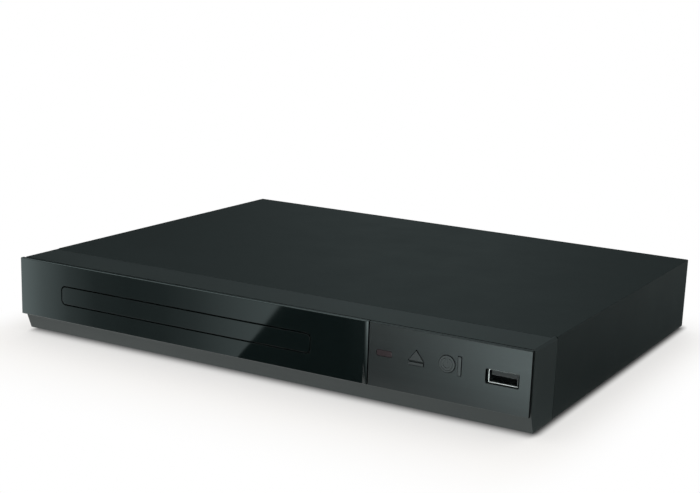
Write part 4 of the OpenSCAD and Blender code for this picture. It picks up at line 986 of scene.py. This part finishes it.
def add_lamp(name, power, size, place, target):
    """A large soft lamp that lights but isn't mirrored."""
    deselect_all()
    bpy.ops.object.light_add(type="AREA", location=place)
    lamp = bpy.context.object
    lamp.name = name
    lamp.data.shape = "RECTANGLE"
    lamp.data.size, lamp.data.size_y = size
    lamp.data.energy = power
    aim = Vector(target) - Vector(place)
    lamp.rotation_euler = aim.to_track_quat("-Z", "Y").to_euler()
    lamp.visible_glossy = False
    lamp.visible_camera = False


def sky_shade(tree, colour, strength):
    """One even shade of the world's background."""
    background = tree.nodes.new("ShaderNodeBackground")
    background.inputs["Color"].default_value = (*colour, 1)
    background.inputs["Strength"].default_value = strength
    return background.outputs[0]


def set_world(stage):
    """Even light from all round, a dim studio for reflections and white behind everything."""
    world = bpy.data.worlds.new("studio")
    bpy.context.scene.world = world
    world.use_nodes = True
    tree = world.node_tree
    tree.nodes.clear()
    path = tree.nodes.new("ShaderNodeLightPath")
    light = sky_shade(tree, WHITE, stage.ambient)
    mirrored = sky_shade(tree, REFLECTION_TINT, stage.surround)
    seen = sky_shade(tree, WHITE, 1.0)
    surface = mix_shaders(tree, path.outputs["Is Glossy Ray"], light, mirrored)
    surface = mix_shaders(tree, path.outputs["Is Camera Ray"], surface, seen)
    output = tree.nodes.new("ShaderNodeOutputWorld")
    tree.links.new(surface, output.inputs["Surface"])


class PLAYER_OT_stage(bpy.types.Operator):
    """Adds the camera, the soft studio light, the pale floor and the reflector cards"""

    bl_idname = "player.stage"
    bl_label = "Stage"

    def execute(self, context):
        _, _, stage = settings()
        scene = context.scene
        scene.view_settings.view_transform = "Standard"
        scene.camera = add_camera(stage)
        set_world(stage)
        add_floor(stage)
        add_panel_card(stage)
        add_flat_cards()
        add_back_card()
        add_lamp("top_light", stage.key_power, *TOP_LIGHT)
        add_lamp("fill_light", stage.fill_power, *FILL_LIGHT)
        return {"FINISHED"}


# ---- Panel and registration ----

# In the order in which they run
STEPS = (PLAYER_OT_finishes, PLAYER_OT_front, PLAYER_OT_keys, PLAYER_OT_socket, PLAYER_OT_cover,
         PLAYER_OT_inside, PLAYER_OT_stage)


class PLAYER_PT_looks(bpy.types.Panel):
    """Lists the steps that dress the player"""

    bl_idname = "PLAYER_PT_looks"
    bl_label = "Disc player"
    bl_space_type = "VIEW_3D"
    bl_region_type = "UI"
    bl_category = "Disc player"

    def draw(self, context):
        layout = self.layout
        for group in settings():
            box = layout.box()
            for name in group.bl_rna.properties.keys():
                if name not in ("rna_type", "name"):
                    box.prop(group, name)
        for step in STEPS:
            layout.operator(step.bl_idname)


SETTINGS = (
    ("player_finish", PlayerFinishSettings),
    ("player_shape", PlayerShapeSettings),
    ("player_stage", PlayerStageSettings),
)


def register():
    for name, kind in SETTINGS:
        bpy.utils.register_class(kind)
        setattr(bpy.types.Scene, name, bpy.props.PointerProperty(type=kind))
    for step in STEPS:
        bpy.utils.register_class(step)
    bpy.utils.register_class(PLAYER_PT_looks)


def unregister():
    bpy.utils.unregister_class(PLAYER_PT_looks)
    for step in reversed(STEPS):
        bpy.utils.unregister_class(step)
    for name, kind in reversed(SETTINGS):
        delattr(bpy.types.Scene, name)
        bpy.utils.unregister_class(kind)


def main():
    register()
    for step in STEPS:
        group, name = step.bl_idname.split(".")
        getattr(getattr(bpy.ops, group), name)()


if __name__ == "__main__":
    main()
